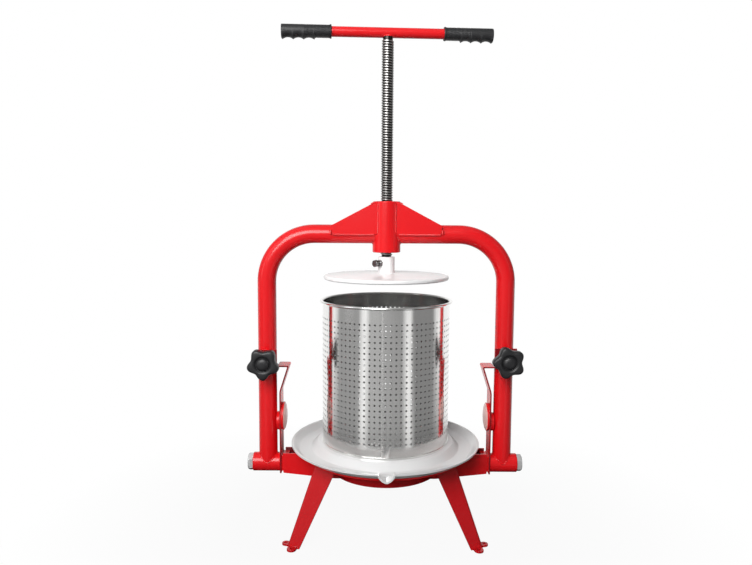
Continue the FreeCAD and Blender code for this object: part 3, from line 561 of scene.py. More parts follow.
def joined(*meshes):
    """Several meshes as one."""
    work = bmesh.new()
    for mesh in meshes:
        work.from_mesh(mesh)
    whole = bpy.data.meshes.new("joined")
    work.to_mesh(whole)
    work.free()
    for mesh in meshes:
        bpy.data.meshes.remove(mesh)
    return whole


def paths(lines):
    """A mesh of open or closed lines, each a list of points and whether it closes."""
    mesh = bpy.data.meshes.new("paths")
    points, edges = [], []
    for line, closed in lines:
        start = len(points)
        points.extend(line)
        edges.extend((start + number, start + number + 1) for number in range(len(line) - 1))
        if closed:
            edges.append((start + len(line) - 1, start))
    mesh.from_pydata(points, edges, [])
    return mesh


# Shared surface effects
PEEL_DEPTH = 0.00012
GRAIN_DEPTH = 0.00004


def shader_group(name, inputs, outputs, fill):
    if name in bpy.data.node_groups:
        return bpy.data.node_groups[name]
    group = bpy.data.node_groups.new(name, "ShaderNodeTree")
    for label, (kind, default) in inputs.items():
        socket = group.interface.new_socket(label, in_out="INPUT", socket_type=SOCKETS[kind])
        socket.default_value = default
    for label, kind in outputs.items():
        group.interface.new_socket(label, in_out="OUTPUT", socket_type=SOCKETS[kind])
    grower = Grower(group)
    start = grower.add("NodeGroupInput")
    given = {
        label: Field(grower, start.outputs[label]) if kind == "number" else start.outputs[label]
        for label, (kind, _) in inputs.items()
    }
    grower.add("NodeGroupOutput", fill(grower, given))
    return group


def noise_of(grower, vector, scale, detail=2.0):
    node = grower.add("ShaderNodeTexNoise", {"Vector": vector, "Scale": scale, "Detail": detail})
    return Field(grower, node.outputs["Fac"])


def clamped(grower, value):
    return grower.sum("MINIMUM", grower.sum("MAXIMUM", value, 0.0), 1.0)


def blend(grower, factor, low, high):
    node = grower.add("ShaderNodeMix", data_type="RGBA")
    grower.plug(node.inputs[0], factor)
    grower.plug(node.inputs[6], low)
    grower.plug(node.inputs[7], high)
    return node.outputs[2]


def here(grower):
    return grower.add("ShaderNodeTexCoord").outputs["Object"]


def off_axis(grower):
    """Distance from the Z axis."""
    x, y, _ = grower.parts(here(grower))
    return grower.sum("SQRT", x * x + y * y)


def grey(level):
    return (level, level, level, 1.0)


def coat_effect():
    """Powder coat: a faint drift of shade, fine dust and the peel of the cured film."""

    def fill(grower, given):
        spot = here(grower)
        drift = noise_of(grower, spot, 9.0, 3.0)
        speck = grower.sum("GREATER_THAN", noise_of(grower, spot, 900.0, 1.0), 0.74)
        toned = blend(grower, drift * given["Drift"], given["Color"], given["Shade"])
        dusted = blend(grower, speck * given["Dust"], toned, (0.8, 0.78, 0.75, 1.0))
        peel = noise_of(grower, spot, 260.0, 2.0) * 0.85 + noise_of(grower, spot, 1400.0, 1.0) * 0.15
        return {
            "Color": dusted,
            "Roughness": given["Roughness"] + (drift - 0.5) * 0.12 + speck * given["Dust"] * 0.5,
            "Height": peel,
        }

    return shader_group(
        "Powder coat",
        {
            "Color": ("colour", (0.8, 0.0, 0.0, 1.0)),
            "Shade": ("colour", (0.6, 0.0, 0.0, 1.0)),
            "Drift": ("number", 0.5),
            "Dust": ("number", 0.1),
            "Roughness": ("number", 0.3),
        },
        {"Color": "colour", "Roughness": "number", "Height": "number"},
        fill,
    )


def grain_effect():
    """Rolled or turned metal: long fine lines, stains and a little uneven polish."""

    def fill(grower, given):
        x, y, z = grower.parts(here(grower))
        around = grower.sum("ARCTAN2", x, y) * given["Radius"]
        lines = noise_of(grower, grower.vector(around * given["Across"], z * given["Along"]), 1.0, 3.0)
        stain = noise_of(grower, grower.vector(x, y, z), 22.0, 3.0)
        return {
            "Color": blend(grower, lines * given["Contrast"], given["Color"], given["Dark"]),
            "Roughness": given["Roughness"] + (lines - 0.5) * 0.16 + (stain - 0.5) * 0.12,
            "Height": lines,
        }

    return shader_group(
        "Metal grain",
        {
            "Color": ("colour", (0.6, 0.6, 0.6, 1.0)),
            "Dark": ("colour", (0.3, 0.3, 0.3, 1.0)),
            "Contrast": ("number", 0.4),
            "Radius": ("number", 0.13),
            "Across": ("number", 700.0),
            "Along": ("number", 8.0),
            "Roughness": ("number", 0.25),
        },
        {"Color": "colour", "Roughness": "number", "Height": "number"},
        fill,
    )


def moulded_effect():
    """Moulded plastic or rubber: a fine spark-eroded texture and paler scuffs."""

    def fill(grower, given):
        spot = here(grower)
        texture = noise_of(grower, spot, 1800.0, 1.0)
        scuff = grower.sum("GREATER_THAN", noise_of(grower, spot, 60.0, 4.0), 0.66)
        return {
            "Color": blend(grower, texture * 0.3 + scuff * given["Scuff"], given["Color"], given["Pale"]),
            "Roughness": given["Roughness"] + (texture - 0.5) * 0.2,
            "Height": texture,
        }

    return shader_group(
        "Moulded texture",
        {
            "Color": ("colour", (0.02, 0.02, 0.02, 1.0)),
            "Pale": ("colour", (0.1, 0.1, 0.1, 1.0)),
            "Scuff": ("number", 0.15),
            "Roughness": ("number", 0.5),
        },
        {"Color": "colour", "Roughness": "number", "Height": "number"},
        fill,
    )


def with_effect(name, effect, values, bump, bump_depth):
    """A material whose colour, roughness and bump come from a shared effect."""
    if name in bpy.data.materials:
        return bpy.data.materials[name]
    material = bpy.data.materials.new(name)
    material.use_nodes = True
    grower = Grower(material.node_tree)
    shader = material.node_tree.nodes["Principled BSDF"]
    group = grower.add("ShaderNodeGroup", node_tree=effect)
    for label, value in values.items():
        grower.plug(group.inputs[label], value)
    relief = grower.add(
        "ShaderNodeBump", {"Strength": bump, "Distance": bump_depth, "Height": group.outputs["Height"]}
    )
    grower.plug(shader.inputs["Base Color"], group.outputs["Color"])
    grower.plug(shader.inputs["Roughness"], group.outputs["Roughness"])
    grower.plug(shader.inputs["Normal"], relief.outputs[0])
    return material


def overlay(material, mask, tone):
    """Another tone where the mask, worked out by a function of the grower, is 1."""
    grower = Grower(material.node_tree)
    colour_input = material.node_tree.nodes["Principled BSDF"].inputs["Base Color"]
    below = colour_input.links[0].from_socket
    grower.plug(colour_input, blend(grower, mask(grower), below, tone))
    return grower


def shade(colour_value, factor=1.0):
    return tuple(min(1.0, part * factor) for part in colour_value) + (1.0,)


def coat(name, base, darker, roughness, drift=0.5, dust=0.06, bump=0.14, gloss=0.5):
    values = {"Color": shade(base), "Shade": shade(base, darker), "Drift": drift, "Dust": dust}
    material = with_effect(name, coat_effect(), {**values, "Roughness": roughness}, bump, PEEL_DEPTH)
    inputs = material.node_tree.nodes["Principled BSDF"].inputs
    inputs["Specular IOR Level"].default_value = gloss
    inputs["Coat Weight"].default_value = gloss * 0.18
    inputs["Coat Roughness"].default_value = 0.1
    return material


def metal(name, base, dark, roughness, radius, across, along, contrast=0.4, bump=0.2, metallic=1.0):
    material = with_effect(
        name,
        grain_effect(),
        {
            "Color": shade(base),
            "Dark": shade(base, dark),
            "Contrast": contrast,
            "Radius": radius,
            "Across": across,
            "Along": along,
            "Roughness": roughness,
        },
        bump,
        GRAIN_DEPTH,
    )
    material.node_tree.nodes["Principled BSDF"].inputs["Metallic"].default_value = metallic
    return material


def moulded(name, base, pale, roughness, scuff):
    return with_effect(
        name,
        moulded_effect(),
        {"Color": shade(base), "Pale": shade(base, pale), "Scuff": scuff, "Roughness": roughness},
        0.35,
        PEEL_DEPTH,
    )


def colours():
    return bpy.context.scene.fruit_press.colours


def red_coat(name="Red powder coat"):
    return coat(name, colours().red_coat, 0.8, 0.24, gloss=0.38)


# The red coat darkened as painted shade, for the legs and the drum.
def base_coat():
    return coat("Red powder coat with painted shade", colours().base_coat, 0.8, 0.26, gloss=0.4)


def toned_coat(name, tone, mask):
    """The red coat with another tone where the mask is 1."""
    if name in bpy.data.materials:
        return bpy.data.materials[name]
    material = red_coat(name)
    overlay(material, mask, shade(tone))
    return material


def shaded_red_tone(red_share):
    """The red coat with less red in it: the tone of painted shade."""
    red = colours().red_coat
    return red[0] * red_share, red[1], red[2]


def facing(grower):
    """The parts of the surface normal."""
    return grower.parts(grower.add("ShaderNodeTexCoord").outputs["Normal"])


def cut_edge_coat():
    """Bent strip whose cut edges, which face front and rear, are darkened as painted shade."""

    def mask(grower):
        # Faces that look front or rear get the darker tone: painted shade on the cut edges.
        return clamped(grower, (grower.sum("ABSOLUTE", facing(grower)[1]) - 0.8) * 8.0)

    return toned_coat("Red coat on strip", shaded_red_tone(0.3), mask)


def channel_coat():
    """Open channel whose inner faces are darkened as painted shade."""

    def mask(grower):
        # Inner faces of the channel walls get the darker tone: painted shade.
        return clamped(grower, grower.parts(here(grower))[1] * facing(grower)[1] * -80.0 - 0.5)

    return toned_coat("Red coat in channel", shaded_red_tone(0.1), mask)


def disc_coat():
    """Buffer disc: red, with a painted sheen that makes the domed face looking at the basket pale."""
    dome_height = 0.0045
    face = abs(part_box("buffer_disc_left")[1].x) + dome_height

    def mask(grower):
        x = grower.parts(here(grower))[0]
        # The domed face gets the pale tone: painted sheen.
        return clamped(grower, (face - grower.sum("ABSOLUTE", x)) * 2000.0)

    return toned_coat("Red coat with painted sheen on face", colours().disc_face, mask)


def weld_coat():
    return coat("Red coat over weld", colours().red_coat, 0.7, 0.16, drift=0.8, bump=0.5)


def white_coat(name, tone):
    return coat(name, tone, 0.95, 0.22, drift=0.6, dust=0.0, bump=0.15, gloss=0.5)


def basket_steel():
    """Polished outside, duller and darker inside the wall and in its holes, the darker tone being painted
    shade.
    """
    steel = colours().basket_steel
    material = metal("Polished basket sheet", steel, 0.72, 0.165, 0.13, 900.0, 5.0, 0.5, 0.12)
    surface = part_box("basket_shell")[1].x

    def inside(grower):
        return clamped(grower, (surface - off_axis(grower)) / 0.0004 - 0.5)

    # Inside the wall and in the holes the steel is darkened: painted shade.
    grower = overlay(material, inside, shade(steel, 0.6))
    shader = material.node_tree.nodes["Principled BSDF"]
    around = grower.add("ShaderNodeTangent", direction_type="RADIAL", axis="Z")
    grower.plug(shader.inputs["Tangent"], around.outputs[0])
    shader.inputs["Anisotropic"].default_value = 0.5
    shader.inputs["Anisotropic Rotation"].default_value = 0.25
    return material


def zinc_steel():
    return metal("Zinc plate", colours().zinc_steel, 0.7, 0.2, 0.02, 500.0, 500.0, 0.5, 0.3, 0.5)


def dark_bolt():
    return metal("Blackened bolt", colours().dark_bolt, 0.5, 0.25, 0.004, 500.0, 500.0, 0.5, 0.3)


def nut_bronze():
    return metal("Turned bronze", colours().nut_bronze, 0.7, 0.3, 0.018, 60.0, 2500.0, 0.4, 0.3)


def knob_plastic():
    return moulded("Moulded knob", colours().knob_plastic, 2.4, 0.42, 0.1)


def grip_rubber():
    return moulded("Moulded grip", colours().grip_rubber, 3.5, 0.5, 0.2)


def spindle_steel():
    """Thread: pale on the crests, darker towards the roots and nearly black in them."""
    material = metal("Oiled spindle", colours().spindle_steel, 0.6, 0.33, 0.012, 300.0, 900.0, 0.5, 0.2)
    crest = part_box("spindle")[1].x
    thread = bpy.context.scene.fruit_press.thread

    def root(grower):
        return clamped(grower, (crest - off_axis(grower)) / thread.depth)

    # Darker towards the roots of the thread, by depth from the crest.
    overlay(material, root, shade(colours().spindle_root))
    return material


# Pieces
class PressOperator:
    bl_options = {"REGISTER", "UNDO"}

    def execute(self, context):
        self.build(context.scene.fruit_press)
        return {"FINISHED"}


def along_y(a, b):
    """Whether an edge runs from front to rear."""
    return abs(a.x - b.x) < 1e-5 and abs(a.z - b.z) < 1e-5


class FRUITPRESS_OT_frame(PressOperator, Operator):
    """Base of the press: beam, blocks, drum, table, ring and legs with a red powder coat"""

    bl_idname = "fruitpress.frame"
    bl_label = "Base frame"

    def build(self, settings):
        red, shaded_red = red_coat(), base_coat()
        for node in ("press_table", "support_ring"):
            finished_copy(node, "red_coat", red, 0.0006)
        # The drum and the legs take the darker copy of the red coat as painted shade.
        for node in ("support_drum", "leg_left", "leg_right", "leg_rear"):
            finished_copy(node, "red_coat", shaded_red, 0.0006)
        for side, _ in SIDES:
            finished_copy("end_block_" + side, "red_coat", red, 0.0008)
            finished_copy("guide_spacer_" + side, "red_coat", red, 0.0008)
            finished_copy("buffer_disc_" + side, "disc_coat", disc_coat(), 0.0005)

        def along_width(a, b):
            return along_y(a, b) and a.z < 0.13

        finished_copy("cross_beam", "red_coat", channel_coat(), 0.0006, along_width, 0.002)


class FRUITPRESS_OT_brackets(PressOperator, Operator):
    """Lock brackets beside the uprights, bent from strip with rounded folds"""

    bl_idname = "fruitpress.brackets"
    bl_label = "Lock brackets"

    def build(self, settings):
        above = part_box("lock_bracket_left")[0].z + 0.13

        def fold(a, b):
            whole = along_y(a, b) and abs(a.y - b.y) > 0.02
            return whole and a.z > above and min(abs(a.x), abs(b.x)) < 0.2195

        for side, _ in SIDES:
            finished_copy("lock_bracket_" + side, "red_coat", cut_edge_coat(), 0.0005, fold, 0.0045, STRIP)


def tube_normals(mesh, sign):
    """Shading of a yoke tube from its axis: upright, a quarter bend and the bar, with coped ends."""
    reach, bar, bend = UPRIGHT_REACH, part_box("gusset_front_left")[0].z, TUBE_BEND
    mesh.shade_smooth()
    mesh.set_sharp_from_angle(angle=math.radians(40))
    normals = []
    for face in mesh.polygons:
        for index in face.vertices:
            x, y, z = mesh.vertices[index].co
            x *= sign
            if z < bar - bend:
                centre = Vector((reach, 0, z))
            elif x < reach - bend:
                centre = Vector((x, 0, bar))
            else:
                pivot = Vector((reach - bend, 0, bar - bend))
                centre = pivot + Vector((x - pivot.x, 0, z - pivot.z)).normalized() * bend
            across = Vector((x, y, z)) - centre
            if across.length < TUBE_RADIUS * 0.94:
                across.negate()
            across.x *= sign
            across.normalize()
            normals.append(across if across.dot(face.normal) > 0.7 else face.normal.copy())
    mesh.normals_split_custom_set(normals)


class FRUITPRESS_OT_yoke(PressOperator, Operator):
    """Yoke of bent tube with its hubs, gusset plates and nut housing"""

    bl_idname = "fruitpress.yoke"
    bl_label = "Yoke"

    def build(self, settings):
        red = red_coat()
        for side, sign in SIDES:
            tube = finished_copy("yoke_tube_" + side, "red_coat", red, 0)
            tube_normals(tube.data, sign)
            finished_copy("pivot_hub_" + side, "red_coat", red, 0.0008)
            for face in ("front", "rear"):
                finished_copy("gusset_%s_%s" % (face, side), "red_coat", red, 0.0006)
        finished_copy("nut_housing", "red_coat", red, 0.0006)
        finished_copy("spindle_nut", "nut_bronze", nut_bronze(), 0.0004)


class FRUITPRESS_OT_tray(PressOperator, Operator):
    """Juice tray and press plate with their white coat"""

    bl_idname = "fruitpress.tray"
    bl_label = "Tray and plate"

    def build(self, settings):
        # The tray takes a greyed copy of the white coat as painted shade.
        finished_copy("juice_tray", "white_coat", white_coat("Tray coat", colours().tray_coat), 0.0006)
        for node in ("press_plate", "plate_boss"):
            finished_copy(node, "white_coat", white_coat("White coat", colours().white_coat), 0.0006)


class FRUITPRESS_OT_basket(PressOperator, Operator):
    """Perforated basket with its seam, rolled rim and hem"""

    bl_idname = "fruitpress.basket"
    bl_label = "Basket"

    def build(self, settings):
        sizes = settings.basket
        low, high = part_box("basket_shell")
        tree = geometry_tree(
            "Perforated sheet",
            perforated_sheet,
            ("Radius", "Hole", "Row pitch", "First row", "Floor", "Top", "Seam turn"),
            ("Columns", "Rows"),
        )
        steel = basket_steel()
        wall = grown(
            tree,
            columns=sizes.columns,
            rows=sizes.rows,
            radius=high.x,
            hole=sizes.hole,
            row_pitch=sizes.row_pitch,
            first_row=low.z + sizes.first_row,
            floor=low.z,
            top=high.z,
            seam_turn=sizes.seam_turn,
            material=steel,
        )
        work = bmesh.new()
        work.from_mesh(wall)
        bmesh.ops.remove_doubles(work, verts=work.verts, dist=5e-5)
        bmesh.ops.recalc_face_normals(work, faces=work.faces)
        middle = max(work.faces, key=lambda face: face.calc_center_median().x)
        if middle.normal.x < 0:
            bmesh.ops.reverse_faces(work, faces=work.faces)
        bmesh.ops.solidify(work, geom=work.faces[:], thickness=sizes.wall)
        work.to_mesh(wall)
        work.free()
        hang("basket_sheet", wall, "basket", "basket_steel", steel, "basket_shell", angle=40)
        finished_copy("basket_foot", "basket_steel", steel, 0.0002)
        self.rim(steel)
        self.seam(sizes, low, high)

    def rim(self, steel):
        low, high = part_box("basket_rim")
        bead = (high.z - low.z) / 2
        ring = high.x - bead
        steps, around = 20, 160
        rings = []
        for column in range(around):
            angle = TURN * column / around
            row = []
            for step in range(steps):
                tilt = TURN * step / steps
                radius = ring + bead * math.cos(tilt)
                height = high.z - bead + bead * math.sin(tilt)
                row.append((radius * math.cos(angle), radius * math.sin(angle), height))
            rings.append(row)
        mesh = tube_of(rings, True)
        hang("basket_rolled_rim", mesh, "basket", "basket_steel", steel, "basket_rim", angle=80)

    def seam(self, sizes, low, high):
        """Ground weld where the ends of the sheet meet, standing out by a hair inside and outside."""
        proud, sunk, rows, sway = 0.00025, 0.0001, 60, 0.00056
        half = sizes.seam_width / 2 / high.x
        outside = [(-half, -sunk), (-half * 0.5, proud), (half * 0.5, proud), (half, -sunk)]
        section = outside + [(offset, -sizes.wall - depth) for offset, depth in reversed(outside)]
        rings = []
        for row in range(rows + 1):
            z = low.z + (high.z - low.z) * row / rows
            middle = sizes.seam_turn + sway * math.sin(row * 1.7) / high.x
            ring = []
            for offset, depth in section:
                radius = high.x + depth
                ring.append((radius * math.sin(middle + offset), -radius * math.cos(middle + offset), z))
            rings.append(ring)
        mesh = tube_of(rings, False)
        ground = metal("Ground seam", colours().basket_steel, 0.8, 0.26, 0.13, 60.0, 300.0, 0.3, 0.2)
        hang("basket_seam", mesh, "basket", "basket_steel", ground, angle=80)


class FRUITPRESS_OT_spindle(PressOperator, Operator):
    """Threaded spindle with its grooved journal"""

    bl_idname = "fruitpress.spindle"
    bl_label = "Spindle"

    def build(self, settings):
        sizes = settings.thread
        low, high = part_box("spindle")
        crest = high.x
        root = crest - sizes.depth
        boss_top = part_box("plate_boss")[1].z
        groove = (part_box("plate_bolt")[0].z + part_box("plate_bolt")[1].z) / 2
        start = boss_top + 0.0005
        journal, neck, groove_half, chamfer = 0.0085, 0.006, 0.0045, 0.001
        profile = [(0, low.z), (journal - chamfer, low.z), (journal, low.z + chamfer)]
        profile += [(journal, groove - groove_half), (neck, groove - groove_half)]
        profile += [(neck, groove + groove_half), (journal, groove + groove_half)]
        profile += [(journal, start), (root, start), (root, high.z), (0, high.z)]
        core = lathe(profile, 48)
        tree = geometry_tree(
            "Screw ridge",
            screw_ridge,
            ("Length", "Pitch", "Depth", "Crest share", "Radius", "Start height"),
        )
        steel = spindle_steel()
        ridge = grown(
            tree,
            length=high.z - start - sizes.run_out * 2 - sizes.pitch,
            pitch=sizes.pitch,
            depth=sizes.depth,
            crest_share=sizes.crest_share,
            radius=crest - sizes.depth * RIDGE_SUNK / 2,
            start_height=start + sizes.run_out,
            material=steel,
        )
        hang("spindle_threaded", joined(core, ridge), "spindle", "spindle_steel", steel, "spindle", angle=28)


class FRUITPRESS_OT_handle(PressOperator, Operator):
    """Handle bar with a ribbed grip on each end"""

    bl_idname = "fruitpress.handle"
    bl_label = "Handle and grips"

    def build(self, settings):
        finished_copy("handle_bar", "red_coat", red_coat(), 0)
        low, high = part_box("handle_bar")
        height = (low.z + high.z) / 2
        for side, sign in SIDES:
            node = "grip_" + side
            mesh = self.grip(settings.handle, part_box(node)[1].z - height)
            turn = settings.handle.turn + (0.0 if sign < 0 else math.pi)
            mesh.transform(Matrix.Translation((0, 0, height)) @ Matrix.Rotation(turn, 4, "Z"))
            hang(node + "_ribbed", mesh, "spindle", "grip_rubber", grip_rubber(), node, angle=50)

    def grip(self, sizes, flange):
        """Rings of a hand grip on -X from its outer end: ribs round it, finger hollows below."""
        rows = int(sizes.length / 0.0004)
        deepest, scallop, ease_length = 0.0164, 0.0153, 0.0015

        def place(along, around):
            distance = along * sizes.length
            angle = around * TURN
            up = math.sin(angle)
            radius = sizes.radius
            if distance > sizes.length - sizes.collar:
                radius = flange
            elif distance > sizes.plain:
                wave = math.cos(distance / sizes.rib_pitch * TURN)
                start = min(1.0, (distance - sizes.plain) / 0.002)
                radius += sizes.rib_height * ((0.15 + 0.85 * max(0.0, wave)) * start - 0.5)
            if distance < sizes.finger_length and up < 0:
                finger = (distance - sizes.finger_first) / sizes.finger_pitch
                offset = (finger - round(finger)) * sizes.finger_pitch
                arc = math.sqrt(max(0.0, scallop**2 - offset**2))
                drop = min(deepest, sizes.radius + scallop - arc)
                fade = min(1.0, (sizes.finger_length - distance) / 0.003)
                radius += (drop - sizes.radius) * fade * up * up
            ease = min(distance, sizes.length - distance)
            if ease < ease_length:
                radius -= ease_length - math.sqrt(max(0.0, ease_length**2 - (ease_length - ease) ** 2))
            if along in (0.0, 1.0):
                radius = 0.0
            return Vector((distance - sizes.reach, radius * math.cos(angle), radius * up))

        return skin(rows, 48, place)


class FRUITPRESS_OT_knobs(PressOperator, Operator):
    """Star knobs with five lobes, a ring groove and a domed middle"""

    bl_idname = "fruitpress.knobs"
    bl_label = "Star knobs"

    def build(self, settings):
        for side, _ in SIDES:
            node = "star_knob_" + side
            washer_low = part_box("knob_washer_" + side)[0]
            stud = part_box("knob_stud_" + side)
            centre = (stud[0] + stud[1]) / 2
            mesh = self.knob(math.radians(KNOB_TURNS[side]) + TURN / 10)
            point_at(mesh, Vector((centre.x, washer_low.y, centre.z)), (0, -1, 0))
            hang(node + "_moulded", mesh, "knob_" + side, "knob_plastic", knob_plastic(), node, angle=60)
            for part in ("knob_stud_", "knob_washer_"):
                materials = frame["nodes"][part + side].data.materials
                materials.clear()
                materials.append(zinc_steel())

    def knob(self, turn):
        """Rings from the hub to the crown: height, radius (past the star's edge where it is lobed)."""
        hub = [(0.0, 0.0052), (0.0, 0.0095), (0.001, 0.0105), (0.011, 0.0105)]
        hub += [(0.0125, 0.0115), (0.013, 0.015)]
        star = [(0.013, -0.0045), (0.0133, -0.0022), (0.0147, -0.0005), (0.0165, 0.0), (0.028, 0.0)]
        star += [(0.0305, -0.0008), (0.0322, -0.0022), (0.033, -0.0042)]
        groove = [(0.0332, 0.019), (0.0329, 0.0172), (0.0318, 0.0156), (0.0304, 0.0143), (0.0304, 0.0132)]
        dome = [(0.0334, 0.0126), (0.035, 0.0103), (0.0362, 0.0068), (0.0365, 0.0034), (0.0365, 0.0)]
        rings = [(0.0, 0.0)] + hub + star + groove + dome
        rim, valley = 0.0326, 0.0252

        def place(along, around):
            number = round(along * (len(rings) - 1))
            height, radius = rings[number]
            angle = around * TURN
            if len(hub) < number <= len(hub) + len(star):
                radius += (rim + valley) / 2 - (rim - valley) / 2 * math.cos(5 * (angle - turn))
            return Vector((radius * math.cos(angle), radius * math.sin(angle), height))

        return skin(len(rings) - 1, 150, place)


class FRUITPRESS_OT_bolts(PressOperator, Operator):
    """Pivot bolts, the side bolt of the press plate and the nuts of the star knobs"""

    bl_idname = "fruitpress.bolts"
    bl_label = "Bolts and nuts"

    def build(self, settings):
        tree = geometry_tree("Hexagon block", hexagon_block, ("Flats", "Height"))
        zinc = zinc_steel()
        for side, sign in SIDES:
            low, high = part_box("pivot_bolt_" + side)
            outer, inner = (low.x, high.x) if sign < 0 else (high.x, low.x)
            centre_z = (low.z + high.z) / 2
            head = grown(tree, flats=PIVOT_FLATS, height=PIVOT_HEAD, material=zinc)
            point_at(head, Vector((outer - sign * PIVOT_HEAD, 0, centre_z)), (sign, 0, 0), math.radians(90))
            length = abs(outer - inner) - PIVOT_HEAD
            shank = lathe([(0, 0), (0.0095, 0), (0.011, 0.0015), (0.011, length), (0, length)], 48)
            point_at(shank, Vector((inner, 0, centre_z)), (sign, 0, 0))
            bolt = joined(head, shank)
            hang("pivot_bolt_%s_zinc" % side, bolt, "base", "zinc_steel", zinc, "pivot_bolt_" + side)

            low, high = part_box("lock_nut_" + side)
            centre = (low + high) / 2
            nut = grown(tree, flats=LOCK_FLATS, height=high.y - low.y, material=zinc)
            point_at(nut, Vector((centre.x, high.y, centre.z)), (0, -1, 0))
            hang("lock_nut_%s_zinc" % side, nut, "base", "zinc_steel", zinc, "lock_nut_" + side)

        low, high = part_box("plate_bolt")
        level = Vector((0, 0, (low.z + high.z) / 2))
        way = Vector((-math.sqrt(0.5), -math.sqrt(0.5), 0))
        dark = dark_bolt()
        head = grown(tree, flats=PLATE_BOLT_FLATS, height=0.0053, material=dark)
        point_at(head, way * 0.0295 + level, way)
        shank = lathe([(0, 0), (0.003, 0), (0.004, 0.001), (0.004, 0.0231), (0, 0.0231)], 32)
        point_at(shank, way * 0.0064 + level, way)
        hang("plate_bolt_dark", joined(head, shank), "plate", "zinc_steel", dark, "plate_bolt")
        nut = grown(tree, flats=PLATE_BOLT_FLATS, height=0.0065, material=dark)
        point_at(nut, way * 0.017 + level, way)
        hang("plate_nut_dark", nut, "plate", "zinc_steel", dark, "plate_nut")


class FRUITPRESS_OT_welds(PressOperator, Operator):
    """Weld beads where tube, plate and sheet are joined"""

    bl_idname = "fruitpress.welds"
    bl_label = "Weld beads"

    def build(self, settings):
        self.sizes = settings.weld
        self.tree = geometry_tree("Weld bead", weld_bead, ("Radius", "Ripple", "Unevenness"))
        beads = (
            ("yoke_weld_beads", self.yoke_lines, "yoke", 0.7),
            ("hub_weld_beads", self.hub_lines, "yoke", 0.6),
            ("gusset_weld_beads", self.gusset_lines, "yoke", 1.25),
            ("base_weld_beads", self.base_lines, "base", 0.8),
        )
        for name, lines_of, body, scale in beads:
            self.bead(name, [line for side, sign in SIDES for line in lines_of(side, sign)], body, scale)
        self.bead("handle_weld_bead", self.handle_lines(settings.handle.turn), "spindle", 0.75)

    def bead(self, name, lines, body, scale):
        mesh = grown(
            self.tree,
            paths(lines),
            radius=self.sizes.radius * scale,
            ripple=self.sizes.ripple,
            unevenness=self.sizes.roughness,
            material=weld_coat(),
        )
        hang(name, mesh, body, "red_coat", weld_coat(), angle=70)

    def hub_lines(self, side, sign):
        """Ring where the upright stands on its hub."""
        low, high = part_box("pivot_hub_" + side)
        axis = (low.z + high.z) / 2
        hub = (high.z - low.z) / 2
        reach, tube, steps = UPRIGHT_REACH * sign, TUBE_RADIUS, 72
        ring = []
        for step in range(steps):
            angle = TURN * step / steps
            y = tube * math.sin(angle)
            ring.append((reach + tube * math.cos(angle), y, axis + math.sqrt(hub * hub - y * y)))
        return [(ring, True)]

    def gusset_lines(self, side, sign):
        """Beads under the plates' lower edges, and short ones at their outer ends and upper corners."""
        lines = []
        for face in ("front", "rear"):
            low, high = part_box("gusset_%s_%s" % (face, side))
            way = -1 if face == "front" else 1
            edge = (low.y if way < 0 else high.y) - way * 0.002
            end = low.x if sign < 0 else high.x
            near = sign * (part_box("nut_housing")[1].x - 0.003)
            under, outward = low.z - 0.0008, edge + way * 0.001
            lines.append(([(near, edge, under), (end - sign * 0.004, edge, under)], False))
            lines.append(([(end, outward, low.z), (end, outward, low.z + 0.009)], False))
            top = [(near, edge, high.z - 0.0025), (near + sign * 0.006, edge, high.z - 0.005)]
            lines.append((top, False))
        return lines

    def yoke_lines(self, side, sign):
        """Ring round the tube at the housing, and upright beads at the gusset plates."""
        housing, tube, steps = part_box("nut_housing")[1].x, TUBE_RADIUS, 72
        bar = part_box("yoke_tube_" + side)[1].z - tube
        ring = []
        for step in range(steps):
            angle = TURN * step / steps
            y = tube * math.cos(angle)
            ring.append((sign * math.sqrt(housing * housing - y * y), y, bar + tube * math.sin(angle)))
        lines = [(ring, True)]
        for face in ("front", "rear"):
            low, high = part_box("gusset_%s_%s" % (face, side))
            way = -1 if face == "front" else 1
            outer = low.y if way < 0 else high.y
            near, proud = sign * math.sqrt(housing * housing - outer * outer), outer + way * 0.0002
            lines.append(([(near, proud, bar + 0.002), (near, proud, high.z - 0.003)], False))
        return lines

    def base_lines(self, side, sign):
        """Rings round spacer and disc, and three sides of the end block's joint with the beam."""
        lines = []
        for node, x, inset in (("guide_spacer_", 0.2186, -0.0003), ("buffer_disc_", 0.2138, 0.003)):
            low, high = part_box(node + side)
            axis = (low.z + high.z) / 2
            radius = (high.z - low.z) / 2 - inset
            ring = []
            for step in range(60):
                angle = TURN * step / 60
                ring.append((sign * x, radius * math.cos(angle), axis + radius * math.sin(angle)))
            lines.append((ring, True))
        low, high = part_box("end_block_" + side)
        face, foot = sign * 0.2152, low.z + 0.004
        corners = [(face, low.y, foot), (face, low.y, high.z), (face, high.y, high.z), (face, high.y, foot)]
        lines.append((corners, False))
        return lines

    def handle_lines(self, turn):
        """Ring where the bar rests on the top of the spindle."""
        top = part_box("spindle")[1].z
        swing = Matrix.Rotation(turn, 3, "Z")
        ring = []
        for step in range(48):
            angle = TURN * step / 48
            rise = 0.0012 * (abs(math.sin(angle)) - 1)
            ring.append(swing @ Vector((0.0112 * math.cos(angle), 0.0088 * math.sin(angle), top + rise)))
        return [(ring, True)]


